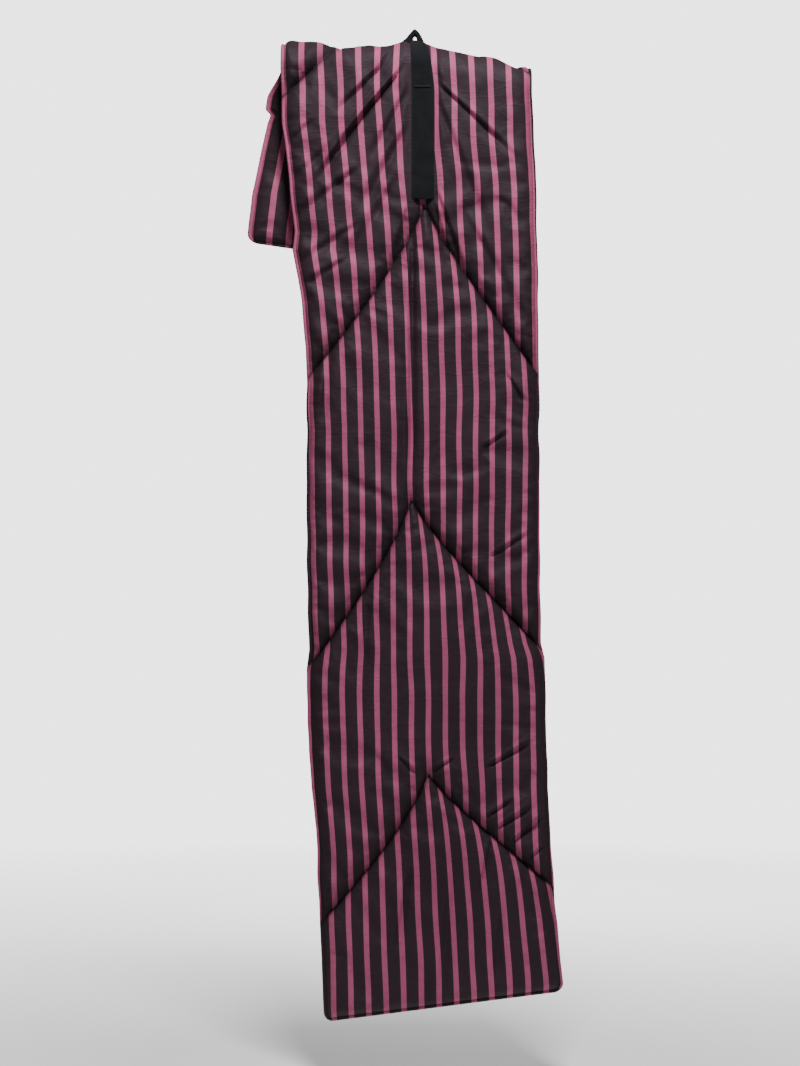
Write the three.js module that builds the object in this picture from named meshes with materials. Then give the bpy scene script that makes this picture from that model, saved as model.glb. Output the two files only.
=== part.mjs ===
// A long, lightly padded quilt folded over near its top and hung from a small tape loop.
// Millimetres, +Z up. The front of the quilt faces -Y and +X is to its right. The origin is the
// inside top of the hang loop, where the quilt's weight is held.
//
// Every layer of the quilt is a "sheet": a closed grid of columns (left to right) and rows (along
// the length) between two depths, measured inwards from the outer surface of the shell.
import * as THREE from 'three';

// ---- driving dimensions -------------------------------------------------------------------
// Thickness and fold
const LOFT = 27;                 // whole thickness, shell to lining
const SHELL = 1.2;               // shell cloth and lining cloth
const FOLD_INNER = 14;           // inside radius of the fold over the top
const LAYER_GAP = 0.4;           // between layers that lie on each other
const PIECE_GAP = 0.5;           // between pieces that meet edge to edge
const FOLD_OUTER = FOLD_INNER + LOFT;
const FOLD_FACETS = 8;

// Height of the fold's ridge, left end to right end
const RIDGE_LEFT_Z = -15;
const RIDGE_DROP = 43;
const RIDGE_POWER = 3;

// Levels across the length, measured from the origin
const BACK_HINGE_Z = -112;       // the folded-over flap starts here, behind
const UPPER_FOLD_Z = -640;
const LOWER_FOLD_Z = -1185;
const HEM_LEFT_Z = -1699;
const HEM_RIGHT_Z = -1646;
const FLAP_HEM_LEFT_Z = -349;
const FLAP_HEM_RIGHT_Z = -415;

// Outline, as [drop below the origin, x]
const FRONT_LEFT = [[0, -228], [110, -232], [310, -211], [560, -188], [800, -188], [1050, -183],
  [1320, -171], [1540, -163], [1700, -155]];
const FRONT_RIGHT = [[0, 198], [130, 204], [320, 210], [600, 214], [900, 215], [1200, 223],
  [1460, 236], [1700, 252]];
const BACK_LEFT = [[0, -228], [60, -232], [110, -245], [270, -280], [420, -292]];
const BACK_RIGHT = [[0, 198], [100, 202], [170, 193], [270, 170], [420, 145]];

// Chevron quilting seams, apex up: where the apex is, and the level of each end
const SEAMS = {
  upper: { apexX: 17, apexZ: -294, leftZ: -595, rightZ: -590 },
  middle: { apexX: -7, apexZ: -803, leftZ: -1092, rightZ: -1061 },
  lower: { apexX: 21, apexZ: -1276, leftZ: -1534, rightZ: -1472 },
};
const SEAM_CURVE = 0.77;         // how the arms flatten towards the sides, 1 being straight
const SEAM_COLUMNS = 4;          // columns to each arm
const THREAD_HALF = 3;           // half the height of the sewn line, along the length
const SEAM_GAP = 1.4;            // from the sewn line to the filling, along the length

// The top seam crosses the fold: its apex is on the back, its arms end on the front
const TOP_SEAM = { apexZ: -190, leftRun: 118, rightRun: 32 };
const TOP_THREAD_WIDTH = 6;
const THREAD_THICK = 0.8;
const THREAD_LIFT = 0.8;         // from the shell, clear of the fold's facets
const TOP_SEAM_STEPS = 26;       // columns along each arm
const TOP_SEAM_END = 0.985;      // share of each arm, short of the side seam

// Side and hem seams
const SIDE_SEAM = 5.4;
const SIDE_GAP = 0.8;            // from the side seam to the layers
const HEM_SEAM = 6;

// Hang loop, its bar tack, and the strap
const LOOP_HOLE_WIDTH = 7;
const LOOP_HOLE_HEIGHT = 13;
const LOOP_TAPE = 6;             // thickness of the tape over the top of the hole
const LOOP_BASE_WIDTH = 30;
const LOOP_TAPE_WIDTH = 12;      // front to back
const LOOP_FOOT_GAP = 0.4;
const STRAP_THICK = 2.6;
const STRAP_TOP_WIDTH = 21;
const STRAP_WIDTH = 38;
const STRAP_CENTRE_X = 13;
const STRAP_SPLIT_Z = -104;      // sewn down above this level, hanging free below it
const STRAP_END_Z = -286;
const STRAP_CORNER = 9;
const STRAP_TILT = 10;           // degrees forwards from the ridge, where the strap starts
const TACK_HEIGHT = 4;
const TACK_RISE = 12;            // of the strap tack, above where the strap comes free
const TACK_THICK = 1.2;
const TACK_LIFT = 0.5;           // from the strap that it sews down

// ---- finishes -------------------------------------------------------------------------------
const FINISH = {
  shell: { color: '#3d3537', roughness: 0.55 },
  lining: { color: '#2f292c', roughness: 0.7 },
  filling: { color: '#d9d6d0', roughness: 0.95 },
  thread: { color: '#5b3a48', roughness: 0.8 },
  seam: { color: '#a2557a', roughness: 0.65 },
  strap: { color: '#1e2126', roughness: 0.9 },
};

const group = new THREE.Group();

function addPiece(name, geometry, finish) {
  const material = new THREE.MeshStandardMaterial({ ...FINISH[finish], metalness: 0 });
  const mesh = new THREE.Mesh(geometry, material);
  mesh.name = name;
  group.add(mesh);
  return mesh;
}

const lerp = THREE.MathUtils.lerp;

// ---- outline and levels ---------------------------------------------------------------------
function outline(knots) {
  const drops = knots.map((knot) => knot[0]);
  const places = knots.map((knot) => knot[1]);
  const curve = new THREE.CubicInterpolant(drops, places, 1);
  return (z) => curve.evaluate(THREE.MathUtils.clamp(-z, drops[0], drops.at(-1)))[0];
}

const EDGES = {
  front: { left: outline(FRONT_LEFT), right: outline(FRONT_RIGHT) },
  back: { left: outline(BACK_LEFT), right: outline(BACK_RIGHT) },
};

const ridgeZ = (f) => RIDGE_LEFT_Z - RIDGE_DROP * f ** RIDGE_POWER;
const foldCentreZ = (f) => ridgeZ(f) - FOLD_OUTER;
// Share of the width at a place on the ridge
const TOP_LEFT_X = EDGES.front.left(RIDGE_LEFT_Z);
const TOP_RIGHT_X = EDGES.front.right(RIDGE_LEFT_Z);
const shareAtX = (x) => (x - TOP_LEFT_X) / (TOP_RIGHT_X - TOP_LEFT_X);

const hemZ = (f) => lerp(HEM_LEFT_Z, HEM_RIGHT_Z, f);
const flapHemZ = (f) => lerp(FLAP_HEM_LEFT_Z, FLAP_HEM_RIGHT_Z, f);

// Share of the width at which a seam has its apex
function apexShare(seam) {
  const left = EDGES.front.left(seam.apexZ);
  return (seam.apexX - left) / (EDGES.front.right(seam.apexZ) - left);
}

// Level of a chevron seam at a share of the width
function chevron(seam) {
  const apex = apexShare(seam);
  return (f) => {
    const arm = f < apex ? (apex - f) / apex : (f - apex) / (1 - apex);
    const end = f < apex ? seam.leftZ : seam.rightZ;
    return lerp(seam.apexZ, end, arm ** SEAM_CURVE);
  };
}

// Columns that put one on the seam's apex
function columnsOf(seam) {
  const apex = apexShare(seam);
  const shares = [];
  for (let i = 0; i <= 2 * SEAM_COLUMNS; i += 1) {
    const right = i - SEAM_COLUMNS;
    shares.push(right < 0 ? (apex * i) / SEAM_COLUMNS : apex + ((1 - apex) * right) / SEAM_COLUMNS);
  }
  return shares;
}

const PANELS = {
  upper: { columns: columnsOf(SEAMS.upper), seam: chevron(SEAMS.upper) },
  middle: { columns: columnsOf(SEAMS.middle), seam: chevron(SEAMS.middle) },
  lower: { columns: columnsOf(SEAMS.lower), seam: chevron(SEAMS.lower) },
};

// ---- rows: each gives, for a share of the width, a side and a way to turn depth into [y, z] ----
const frontRow = (level) => (f) => ({
  side: 'front',
  z: level(f),
  at: (depth) => [-(FOLD_OUTER - depth), level(f)],
});

const backRow = (level) => (f) => ({
  side: 'back',
  z: level(f),
  at: (depth) => [FOLD_OUTER - depth, level(f)],
});

// angle 0 is the back of the fold, half a turn its front
const foldRow = (angle) => (f) => ({
  side: 'front',
  z: foldCentreZ(f),
  at: (depth) => [
    (FOLD_OUTER - depth) * Math.cos(angle),
    foldCentreZ(f) + (FOLD_OUTER - depth) * Math.sin(angle),
  ],
});

// Rows between two levels, evenly spaced in each column
function between(makeRow, start, end, steps) {
  const rows = [];
  for (let i = 0; i <= steps; i += 1) {
    rows.push(makeRow((f) => lerp(start(f), end(f), i / steps)));
  }
  return rows;
}

const level = (z) => () => z;
const shifted = (curve, offset) => (f) => curve(f) + offset;

// From behind, up over the fold and to its front edge
function overFold(backLevel) {
  const rows = [backRow(backLevel)];
  for (let i = 0; i <= FOLD_FACETS; i += 1) {
    rows.push(foldRow((Math.PI * i) / FOLD_FACETS));
  }
  return rows;
}

// ---- sheets -----------------------------------------------------------------------------------
// inset is how far in from the quilt's side edges the sheet stops; a pair of spans gives a strip
function insideEdges(side, z, inset) {
  return [EDGES[side].left(z) + inset, EDGES[side].right(z) - inset];
}

const fullWidth = (inset) => (side, z, f) => {
  const [left, right] = insideEdges(side, z, inset);
  return lerp(left, right, f);
};

const leftStrip = (width) => (side, z, f) => EDGES[side].left(z) + width * f;
const rightStrip = (width) => (side, z, f) => EDGES[side].right(z) - width * (1 - f);

function sheet({ rows, columns, across, shareOf = (f) => f, outer, inner }) {
  const wide = columns.length;
  const long = rows.length;
  const positions = [];
  for (const depth of [outer, inner]) {
    for (const row of rows) {
      for (const f of columns) {
        const place = row(shareOf(f));
        const [y, z] = place.at(depth);
        positions.push(across(place.side, place.z, f), y, z);
      }
    }
  }
  const index = (layer, j, i) => layer * wide * long + j * wide + i;
  const triangles = [];
  const quad = (a, b, c, d) => triangles.push(a, b, c, a, c, d);
  for (let j = 0; j < long - 1; j += 1) {
    for (let i = 0; i < wide - 1; i += 1) {
      quad(index(0, j, i), index(0, j + 1, i), index(0, j + 1, i + 1), index(0, j, i + 1));
      quad(index(1, j, i), index(1, j, i + 1), index(1, j + 1, i + 1), index(1, j + 1, i));
    }
    quad(index(0, j + 1, 0), index(0, j, 0), index(1, j, 0), index(1, j + 1, 0));
    const last = wide - 1;
    quad(index(0, j, last), index(0, j + 1, last), index(1, j + 1, last), index(1, j, last));
  }
  for (let i = 0; i < wide - 1; i += 1) {
    const last = long - 1;
    quad(index(0, 0, i), index(0, 0, i + 1), index(1, 0, i + 1), index(1, 0, i));
    quad(index(0, last, i + 1), index(0, last, i), index(1, last, i), index(1, last, i + 1));
  }
  const geometry = new THREE.BufferGeometry();
  geometry.setAttribute('position', new THREE.Float32BufferAttribute(positions, 3));
  geometry.setIndex(triangles);
  geometry.computeVertexNormals();
  return geometry;
}

const LAYERS = {
  shell: { outer: 0, inner: SHELL },
  filling: { outer: SHELL + LAYER_GAP, inner: LOFT - SHELL - LAYER_GAP },
  lining: { outer: LOFT - SHELL, inner: LOFT },
  seam: { outer: 0, inner: LOFT },
};

const INSET = SIDE_SEAM + SIDE_GAP;
const HALF = PIECE_GAP / 2;
const ENDS = [0, 1];
const FLAT_STEPS = 6;

// Rows of each body's stretch, from its first edge to its last
const hemEdge = shifted(hemZ, HEM_SEAM + PIECE_GAP);
const flapEdge = shifted(flapHemZ, HEM_SEAM + PIECE_GAP);
const STRETCHES = {
  back_flap: {
    rows: between(backRow, flapEdge, level(BACK_HINGE_Z - HALF), 3),
    sideRows: between(backRow, flapHemZ, level(BACK_HINGE_Z - HALF), 3),
    columns: PANELS.upper.columns,
  },
  upper: {
    rows: [
      ...overFold(level(BACK_HINGE_Z + HALF)),
      ...between(frontRow, foldCentreZ, level(UPPER_FOLD_Z + HALF), FLAT_STEPS).slice(1),
    ],
    columns: PANELS.upper.columns,
  },
  middle: {
    rows: between(frontRow, level(UPPER_FOLD_Z - HALF), level(LOWER_FOLD_Z + HALF), FLAT_STEPS),
    columns: PANELS.middle.columns,
  },
  lower: {
    rows: between(frontRow, level(LOWER_FOLD_Z - HALF), hemEdge, FLAT_STEPS),
    sideRows: between(frontRow, level(LOWER_FOLD_Z - HALF), hemZ, FLAT_STEPS),
    columns: PANELS.lower.columns,
  },
};

// ---- shell, lining and side seams ---------------------------------------------------------------
for (const [part, { rows, sideRows = rows, columns }] of Object.entries(STRETCHES)) {
  for (const layer of ['shell', 'lining']) {
    addPiece(`${layer}_${part}`, sheet({
      rows,
      columns,
      across: fullWidth(INSET),
      ...LAYERS[layer],
    }), layer);
  }
  const sides = { left: [leftStrip(SIDE_SEAM), 0], right: [rightStrip(SIDE_SEAM), 1] };
  for (const [side, [across, share]] of Object.entries(sides)) {
    addPiece(`side_seam_${side}_${part}`, sheet({
      rows: sideRows,
      columns: ENDS,
      across,
      shareOf: () => share,
      ...LAYERS.seam,
    }), 'seam');
  }
}

// ---- hem seams, between the side seams -----------------------------------------------------------
addPiece('hem_seam', sheet({
  rows: between(frontRow, shifted(hemZ, HEM_SEAM), hemZ, 1),
  columns: PANELS.lower.columns,
  across: fullWidth(INSET),
  ...LAYERS.seam,
}), 'seam');

addPiece('flap_hem_seam', sheet({
  rows: between(backRow, flapHemZ, shifted(flapHemZ, HEM_SEAM), 1),
  columns: PANELS.upper.columns,
  across: fullWidth(INSET),
  ...LAYERS.seam,
}), 'seam');

// ---- filling pads and the quilting seams between them -----------------------------------------------
const CLEAR = THREAD_HALF + SEAM_GAP;

function filling(name, rows, columns) {
  addPiece(name, sheet({ rows, columns, across: fullWidth(INSET), ...LAYERS.filling }), 'filling');
}

filling('filling_back_flap', STRETCHES.back_flap.rows, PANELS.upper.columns);

filling('filling_top', [
  ...overFold(level(BACK_HINGE_Z + HALF)),
  ...between(frontRow, foldCentreZ, shifted(PANELS.upper.seam, CLEAR), FLAT_STEPS).slice(1),
], PANELS.upper.columns);

const BELOW = {
  upper: level(UPPER_FOLD_Z + HALF),
  middle: level(LOWER_FOLD_Z + HALF),
  lower: hemEdge,
};
const ABOVE = {
  middle: level(UPPER_FOLD_Z - HALF),
  lower: level(LOWER_FOLD_Z - HALF),
};

for (const [part, panel] of Object.entries(PANELS)) {
  if (ABOVE[part]) {
    filling(
      `filling_${part}_above_seam`,
      between(frontRow, ABOVE[part], shifted(panel.seam, CLEAR), FLAT_STEPS),
      panel.columns,
    );
  }
  filling(
    `filling_${part}_below_seam`,
    between(frontRow, shifted(panel.seam, -CLEAR), BELOW[part], FLAT_STEPS),
    panel.columns,
  );
  addPiece(`quilting_seam_${part}`, sheet({
    rows: between(frontRow, shifted(panel.seam, THREAD_HALF), shifted(panel.seam, -THREAD_HALF), 1),
    columns: panel.columns,
    across: fullWidth(INSET),
    ...LAYERS.filling,
  }), 'thread');
}

// ---- the top seam's sewn line, laid on the shell over the fold -----------------------------------------
// run is the distance over the outer surface from the ridge, positive to the front
const QUARTER = (Math.PI / 2) * FOLD_OUTER;

function runRow(run) {
  return (f) => {
    const distance = run(f);
    if (distance > QUARTER) {
      return frontRow((g) => foldCentreZ(g) - (distance - QUARTER))(f);
    }
    if (distance < -QUARTER) {
      return backRow((g) => foldCentreZ(g) + (distance + QUARTER))(f);
    }
    return foldRow(Math.PI / 2 + distance / FOLD_OUTER)(f);
  };
}

const TOP_APEX = apexShare(SEAMS.upper);
const backRun = (f, z) => z - foldCentreZ(f) - QUARTER;
const TOP_APEX_RUN = backRun(TOP_APEX, TOP_SEAM.apexZ);

// One arm as a ribbon: its columns step along the arm from "from" to "to", 0 at the apex, 1 at its end
function topSeamArm(side, from, to, steps) {
  const endRun = side === 'left' ? TOP_SEAM.leftRun : TOP_SEAM.rightRun;
  const endShare = side === 'left' ? 0 : 1;
  const runAt = (t) => lerp(TOP_APEX_RUN, endRun, t ** SEAM_CURVE);
  const shareAt = (t) => lerp(TOP_APEX, endShare, t);
  const columns = [];
  for (let i = 0; i <= steps; i += 1) {
    const t = lerp(from, to, i / steps);
    columns.push(side === 'left' ? 1 - t : t);
  }
  columns.sort((a, b) => a - b);
  const tOf = (f) => (side === 'left' ? 1 - f : f);
  const row = (offset) => (f) => runRow(() => runAt(tOf(f)) + offset)(shareAt(tOf(f)));
  return sheet({
    rows: [row(-TOP_THREAD_WIDTH / 2), row(TOP_THREAD_WIDTH / 2)],
    columns,
    across: (place, z, f) => fullWidth(INSET)(place, z, shareAt(tOf(f))),
    outer: -THREAD_LIFT - THREAD_THICK,
    inner: -THREAD_LIFT,
  });
}

// Where along an arm the seam has climbed clear of the back hinge, found by halving
const HINGE_ROOM = TOP_THREAD_WIDTH / 2 + 6;
const HALVINGS = 24;

function aboveHinge(side) {
  const endRun = side === 'left' ? TOP_SEAM.leftRun : TOP_SEAM.rightRun;
  const endShare = side === 'left' ? 0 : 1;
  const levelAt = (t) => {
    const run = lerp(TOP_APEX_RUN, endRun, t ** SEAM_CURVE);
    return foldCentreZ(lerp(TOP_APEX, endShare, t)) + Math.min(0, run + QUARTER);
  };
  let low = 0;
  let high = 0.7;
  for (let i = 0; i < HALVINGS; i += 1) {
    const middle = (low + high) / 2;
    if (levelAt(middle) < BACK_HINGE_Z + HINGE_ROOM) {
      low = middle;
    } else {
      high = middle;
    }
  }
  return high;
}

for (const side of ['left', 'right']) {
  addPiece(
    `top_seam_${side}`,
    topSeamArm(side, aboveHinge(side), TOP_SEAM_END, TOP_SEAM_STEPS),
    'thread',
  );
}

// ---- hang loop ---------------------------------------------------------------------------------------
function hangLoop() {
  const half = LOOP_BASE_WIDTH / 2;
  const hole = LOOP_HOLE_WIDTH / 2;
  const ridgeUnder = (x) => ridgeZ(shareAtX(x));
  const footLeft = ridgeUnder(-half) + LOOP_FOOT_GAP;
  const footRight = ridgeUnder(half) + LOOP_FOOT_GAP;
  const shape = new THREE.Shape();
  shape.moveTo(-half, footLeft);
  shape.lineTo(-hole, ridgeUnder(-hole) + LOOP_FOOT_GAP);
  shape.lineTo(-hole, -hole);
  shape.absarc(0, -hole, hole, Math.PI, 0, true);
  shape.lineTo(hole, ridgeUnder(hole) + LOOP_FOOT_GAP);
  shape.lineTo(half, footRight);
  shape.lineTo(half - 3, footRight + 6);
  shape.quadraticCurveTo(hole + LOOP_TAPE, -LOOP_HOLE_HEIGHT / 2, hole + 1, LOOP_TAPE - 2);
  shape.quadraticCurveTo(hole, LOOP_TAPE, 0, LOOP_TAPE);
  shape.quadraticCurveTo(-hole, LOOP_TAPE, -hole - 1, LOOP_TAPE - 2);
  shape.quadraticCurveTo(-hole - LOOP_TAPE, -LOOP_HOLE_HEIGHT / 2, 3 - half, footLeft + 6);
  shape.closePath();
  const geometry = new THREE.ExtrudeGeometry(shape, {
    depth: LOOP_TAPE_WIDTH,
    bevelEnabled: false,
    curveSegments: 4,
  });
  geometry.rotateX(Math.PI / 2);
  geometry.translate(0, LOOP_TAPE_WIDTH / 2, 0);
  return geometry;
}

addPiece('hang_loop', hangLoop(), 'strap');

// ---- strap ---------------------------------------------------------------------------------------------
// The sewn part follows the fold from just in front of the loop, widening as it goes down
const STRAP_START = Math.PI / 2 + THREE.MathUtils.degToRad(STRAP_TILT);
const FACET = Math.PI / FOLD_FACETS;
const STRAP_ANGLES = [STRAP_START];
for (let i = FOLD_FACETS / 2 + 1; i <= FOLD_FACETS; i += 1) {
  STRAP_ANGLES.push(FACET * i);
}

function strapTop() {
  const rowMakers = STRAP_ANGLES.map((angle) => foldRow(angle));
  rowMakers.push(frontRow(level(STRAP_SPLIT_Z + HALF)));
  const last = rowMakers.length - 1;
  const across = (number, z, f) => {
    const down = Math.min(1, number / (last - 1));
    const width = lerp(STRAP_TOP_WIDTH, STRAP_WIDTH, down);
    return STRAP_CENTRE_X * down + (f - 0.5) * width;
  };
  // each row follows the ridge under its own places, and its number stands for the side
  const rows = rowMakers.map((make, number) => (f) => ({
    ...make(shareAtX(across(number, 0, f))),
    side: number,
  }));
  return sheet({
    rows,
    columns: ENDS,
    across,
    outer: -LAYER_GAP - STRAP_THICK,
    inner: -LAYER_GAP,
  });
}

addPiece('strap_sewn_part', strapTop(), 'strap');

function roundedBand(width, top, bottom, corner) {
  const half = width / 2;
  const shape = new THREE.Shape();
  shape.moveTo(-half, top);
  shape.lineTo(-half, bottom + corner);
  shape.absarc(corner - half, bottom + corner, corner, Math.PI, 1.5 * Math.PI, false);
  shape.absarc(half - corner, bottom + corner, corner, 1.5 * Math.PI, 2 * Math.PI, false);
  shape.lineTo(half, top);
  shape.closePath();
  return shape;
}

function strapTail() {
  const shape = roundedBand(STRAP_WIDTH, STRAP_SPLIT_Z - HALF, STRAP_END_Z, STRAP_CORNER);
  const geometry = new THREE.ExtrudeGeometry(shape, {
    depth: STRAP_THICK,
    bevelEnabled: false,
    curveSegments: 5,
  });
  geometry.rotateX(Math.PI / 2);
  geometry.translate(STRAP_CENTRE_X, -FOLD_OUTER - LAYER_GAP, 0);
  return geometry;
}

addPiece('strap_tail', strapTail(), 'strap');

// ---- tacks that sew the strap and the loop down -----------------------------------------------------------
function tack(width, height, thick, place) {
  const geometry = new THREE.BoxGeometry(width, thick, height);
  geometry.rotateX(place.turn);
  geometry.rotateY(-place.lean);
  geometry.translate(place.x, place.y, place.z);
  return geometry;
}

const FACE_TO_TACK = LAYER_GAP + STRAP_THICK + TACK_LIFT + TACK_THICK / 2;

// over the first facet of the sewn part, in front of the loop's foot
function loopTackPlace() {
  const [start, end] = STRAP_ANGLES;
  const angle = (start + end) / 2;
  const radius = (FOLD_OUTER + LAYER_GAP + STRAP_THICK) * Math.cos((end - start) / 2);
  const out = radius + TACK_LIFT + TACK_THICK / 2;
  const x = STRAP_CENTRE_X / STRAP_ANGLES.length;
  return {
    x,
    y: out * Math.cos(angle),
    z: foldCentreZ(shareAtX(x)) + out * Math.sin(angle),
    turn: angle - Math.PI,
    lean: Math.atan((ridgeZ(shareAtX(x + 1)) - ridgeZ(shareAtX(x - 1))) / 2),
  };
}

addPiece('loop_bar_tack', tack(STRAP_TOP_WIDTH - 4, TACK_HEIGHT, TACK_THICK, loopTackPlace()), 'thread');
addPiece('strap_bar_tack', tack(STRAP_WIDTH - 8, TACK_HEIGHT, TACK_THICK, {
  x: STRAP_CENTRE_X,
  y: -FOLD_OUTER - FACE_TO_TACK,
  z: STRAP_SPLIT_Z + TACK_RISE,
  turn: 0,
  lean: 0,
}), 'thread');

export default group;
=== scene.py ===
"""The looks of a long padded quilt, folded over near its top and hung from its tape loop."""
import logging
import math
from dataclasses import dataclass, field
from enum import Enum
from typing import Callable

import bpy
import numpy as np
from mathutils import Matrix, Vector


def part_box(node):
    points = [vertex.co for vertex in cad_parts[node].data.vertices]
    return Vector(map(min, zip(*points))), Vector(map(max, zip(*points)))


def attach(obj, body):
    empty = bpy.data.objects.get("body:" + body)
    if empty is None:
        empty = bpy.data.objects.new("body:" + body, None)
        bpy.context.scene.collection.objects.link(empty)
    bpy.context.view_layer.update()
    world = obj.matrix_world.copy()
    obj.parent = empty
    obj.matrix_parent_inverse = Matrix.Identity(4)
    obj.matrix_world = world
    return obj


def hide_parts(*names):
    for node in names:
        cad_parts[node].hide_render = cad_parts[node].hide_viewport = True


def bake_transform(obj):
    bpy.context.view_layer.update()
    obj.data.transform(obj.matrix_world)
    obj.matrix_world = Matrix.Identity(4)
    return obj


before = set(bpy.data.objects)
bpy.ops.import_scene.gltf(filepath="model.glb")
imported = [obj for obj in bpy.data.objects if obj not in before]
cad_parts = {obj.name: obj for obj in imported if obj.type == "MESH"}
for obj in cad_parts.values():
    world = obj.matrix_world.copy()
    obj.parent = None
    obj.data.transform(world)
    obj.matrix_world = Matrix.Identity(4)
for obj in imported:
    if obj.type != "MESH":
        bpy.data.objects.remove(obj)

LOG = logging.getLogger("quilt")
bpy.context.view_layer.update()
Curve = Callable[[np.ndarray], np.ndarray]
Material, Object, Socket = bpy.types.Material, bpy.types.Object, bpy.types.NodeSocket


class Stretch(Enum):
    """The three lengths of the quilt that are made as separate pieces."""

    BACK = "back"
    UPPER = "upper"
    LOWER = "lower"


class Skin(Enum):
    """The two cloths of the quilt, and which way each looks from its middle."""

    SHELL = 1
    LINING = -1


# ---- small numeric helpers -----------------------------------------------------------------------
def ease(value: np.ndarray, low: float, high: float) -> np.ndarray:
    """Smooth step from 0 at low to 1 at high.

    Args:
        value: What is compared with the two limits.
        low: Where the step starts.
        high: Where the step ends.

    Returns:
        The step, between 0 and 1.
    """
    share = np.clip((value - low) / (high - low), 0.0, 1.0)
    return share * share * (3.0 - 2.0 * share)


def bell(value: np.ndarray, width: float) -> np.ndarray:
    """Bell curve of height 1 about 0.

    Args:
        value: Distance from the middle of the bell.
        width: Distance at which it has fallen to about a third.

    Returns:
        The bell's height.
    """
    return np.exp(-((value / width) ** 2))


class Noise:
    """Smooth seeded noise on one or two axes, between about -1 and 1."""

    SIZE = 256

    def __init__(self, seed: int) -> None:
        """Draws the lattice.

        Args:
            seed: Fixed seed of the lattice.
        """
        self.lattice = np.random.default_rng(seed).uniform(-1.0, 1.0, (self.SIZE, self.SIZE))

    def __call__(self, x: np.ndarray, y: np.ndarray) -> np.ndarray:
        """Noise at a place, one lattice cell to each unit.

        Args:
            x: Place on the first axis.
            y: Place on the second axis.

        Returns:
            The noise.
        """
        x, y = np.broadcast_arrays(np.asarray(x, float), np.asarray(y, float))
        column, row = np.floor(x).astype(int), np.floor(y).astype(int)
        across, down = x - column, y - row
        across = across * across * (3 - 2 * across)
        down = down * down * (3 - 2 * down)
        size = self.SIZE
        corner = [
            [self.lattice[(row + j) % size, (column + i) % size] for i in (0, 1)] for j in (0, 1)
        ]
        top = corner[0][0] * (1 - across) + corner[0][1] * across
        bottom = corner[1][0] * (1 - across) + corner[1][1] * across
        return top * (1 - down) + bottom * down


# How much fuller the puffed cloth stands than its outline, as (level, metres), by side and run
TRIMS = {
    ("left", -1): (
        (-0.34, 0.0), (-0.373, -0.008), (-0.42, -0.002), (-0.46, 0.0), (-1.06, 0.0),
        (-1.095, -0.006), (-1.165, -0.006), (-1.235, -0.009), (-1.30, -0.007), (-1.37, -0.001),
    ),
    ("right", -1): (
        (-1.05, 0.0), (-1.075, 0.005), (-1.235, 0.004), (-1.30, 0.001), (-1.44, 0.003),
        (-1.595, 0.006), (-1.64, 0.008),
    ),
    ("left", 1): (
        (-0.03, 0.0), (-0.055, -0.009), (-0.10, -0.014), (-0.122, -0.012), (-0.131, -0.001),
        (-0.145, -0.003), (-0.35, -0.004),
    ),
    ("right", 1): ((-0.30, 0.0), (-0.35, 0.0)),
}


# ---- what the frame says -------------------------------------------------------------------------
def node_points(name: str) -> np.ndarray:
    """Corners of a CAD node, in metres.

    Args:
        name: The node's name.

    Returns:
        One row for each corner.
    """
    return np.array([vertex.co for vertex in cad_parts[name].data.vertices], float)


def by_place(places: np.ndarray, values: np.ndarray) -> Curve:
    """A curve through points, sorted by place, straight between them and flat past them.

    Args:
        places: Where each value stands.
        values: The values.

    Returns:
        The curve.
    """
    order = np.argsort(places)
    sorted_places, sorted_values = places[order], values[order]
    return lambda place: np.interp(place, sorted_places, sorted_values)


def put_in(name: str, data: bpy.types.ID) -> Object:
    """Makes an object of a mesh, a lamp or a camera and puts it in the scene."""
    made = bpy.data.objects.new(name, data)
    bpy.context.scene.collection.objects.link(made)
    return made


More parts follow.
